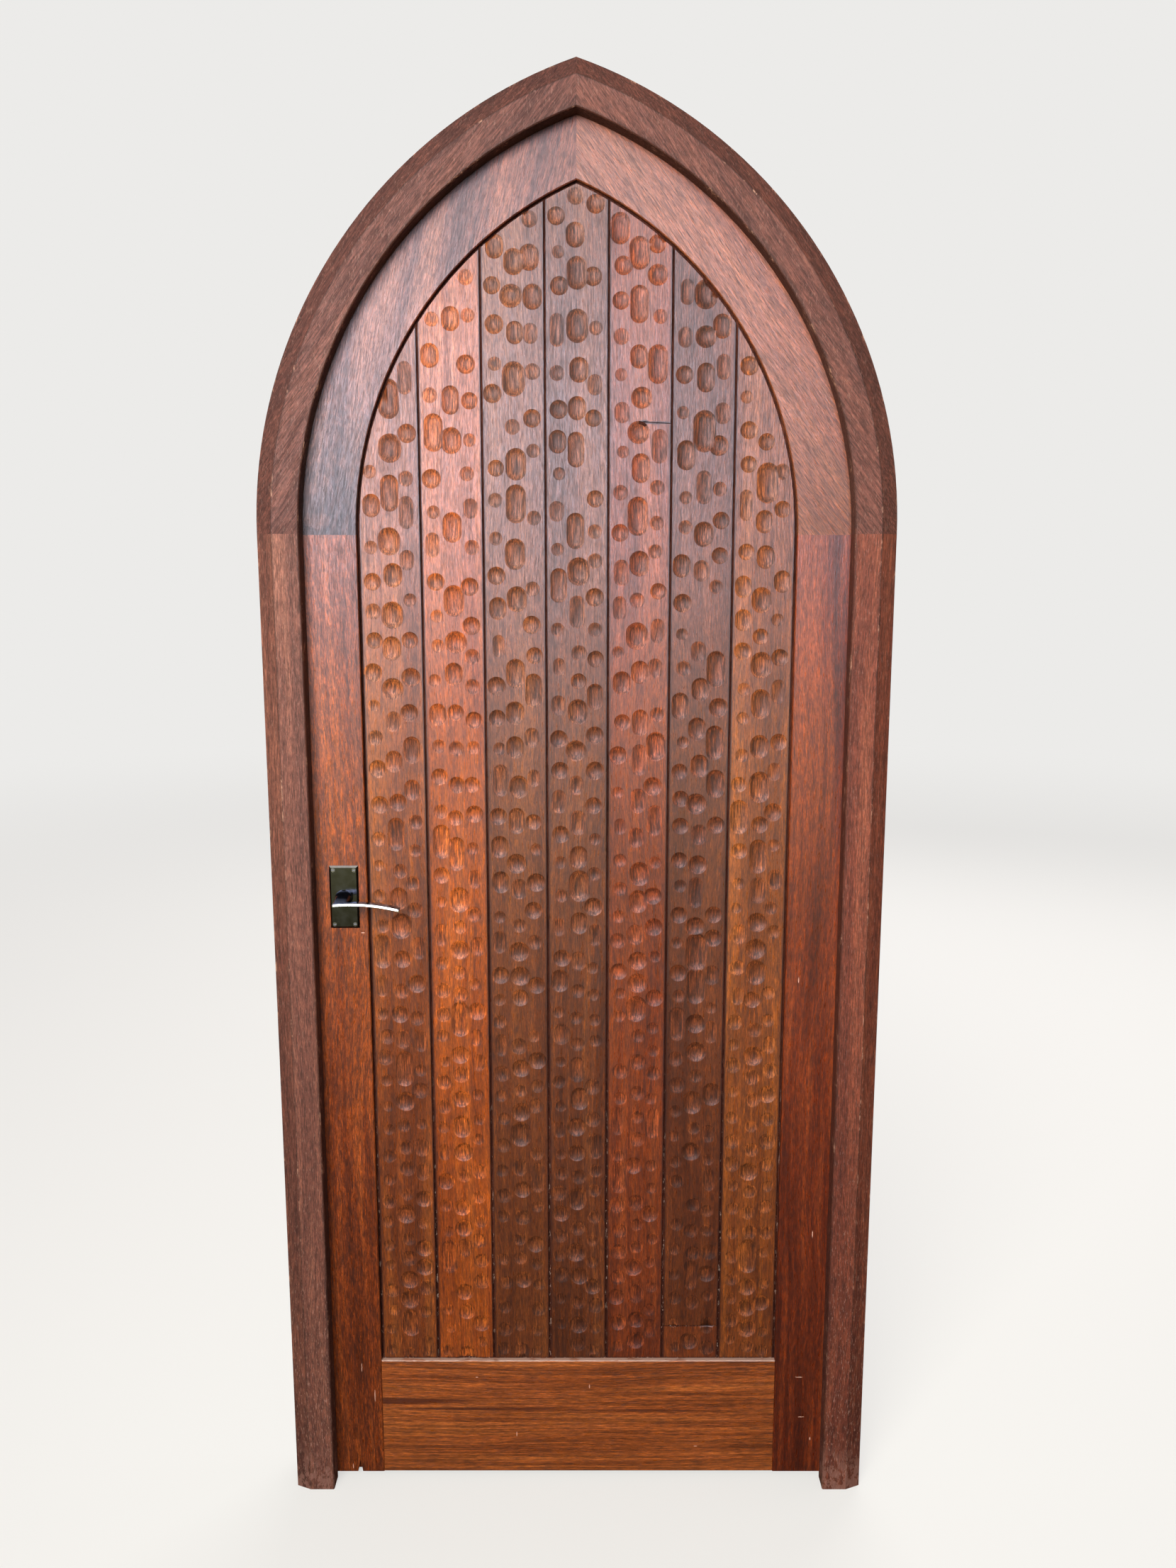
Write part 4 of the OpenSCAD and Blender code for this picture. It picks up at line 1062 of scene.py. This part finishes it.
arm = finish_with(blade(), "BEVEL", width=0.0005, segments=2, limit_method="ANGLE",
                  angle_limit=math.radians(40))
heights = [v.co.z for v in arm.data.vertices]
print("blade from", round(min(heights), 4), "to", round(max(heights), 4), "above the floor")
lever = finish_with(neck(), "BOOLEAN", operation="UNION", object=arm, solver="EXACT")
lever.name = lever.data.name = "nickel_lever_front"
bpy.data.objects.remove(arm)
take(lever)
bpy.ops.object.shade_smooth_by_angle(angle=math.radians(32))
print("lever faces:", len(lever.data.polygons))

# %% [markdown]
# The lever behind the door is the same one, mirrored through the leaf. A mirrored
# mesh is inside out, so its normals are worked out again. The plates keep their CAD
# shape, but their copies give the top chamfer a pale metal, a painted highlight.

# %% The lever behind, and the plates
nickel = metal("black_nickel", (0.060, 0.064, 0.082, 1), 0.12, 0.05)
edge_highlight = metal("polished_edge", (0.86, 0.85, 0.83, 1), 0.1, 0.04)
dress(lever, nickel)
# A painted highlight: the lever's front edge gets a pale metal.
assign(lever, edge_highlight, lambda at, n: n.y < -0.85 and at.y < BLADE_FRONT + 0.0016)
behind = bpy.data.objects.new("nickel_lever_rear", lever.data.copy())
behind.data.name = behind.name
bpy.context.scene.collection.objects.link(behind)
edit_all(behind)
bpy.ops.transform.resize(value=(1, -1, 1), center_override=(0, 0, 0))
bpy.ops.mesh.normals_make_consistent(inside=False)
bpy.ops.object.mode_set(mode="OBJECT")
for piece, node in ((lever, "lever_front"), (behind, "lever_rear")):
    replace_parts(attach(piece, "levers"), node)

PLATE_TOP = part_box("plate_front")[1].z


def top_chamfer(at, facing):
    """True for the sloping face along a plate's top edge."""
    return facing.z > 0.3 and abs(facing.y) > 0.2 and abs(at.z - PLATE_TOP) < 0.01


for node in ("plate_front", "plate_rear"):
    plate = welded_copy(node, node + "_dressed")
    dress(plate, nickel)
    # A painted highlight: the plate's top chamfer gets a pale metal.
    edge = assign(plate, edge_highlight, top_chamfer)
    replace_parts(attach(plate, "leaf"), node)
    print(plate.name, "bright edge faces:", edge)

# %% [markdown]
# ## The latch's spring
# Inside the lock a coil spring pushes the bolt out. When the lever draws the bolt
# back, the coil is pressed together between the bolt and a lug of the case. A copy of
# the coil, welded and shaded smooth, takes the CAD coil's place on the leaf.

# %% A copy of the spring
coil = welded_copy("bolt_spring", "latch_coil")
dress(coil, bpy.data.materials["lock_metal"])
bpy.ops.object.shade_smooth()
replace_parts(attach(coil, "leaf"), "bolt_spring")
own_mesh(coil)

# %% [markdown]
# ## Finishing
# The gouge's caps were tools and are thrown away.

# %% Clear away the tools and finish
for cap in caps.values():
    bpy.data.objects.remove(cap)
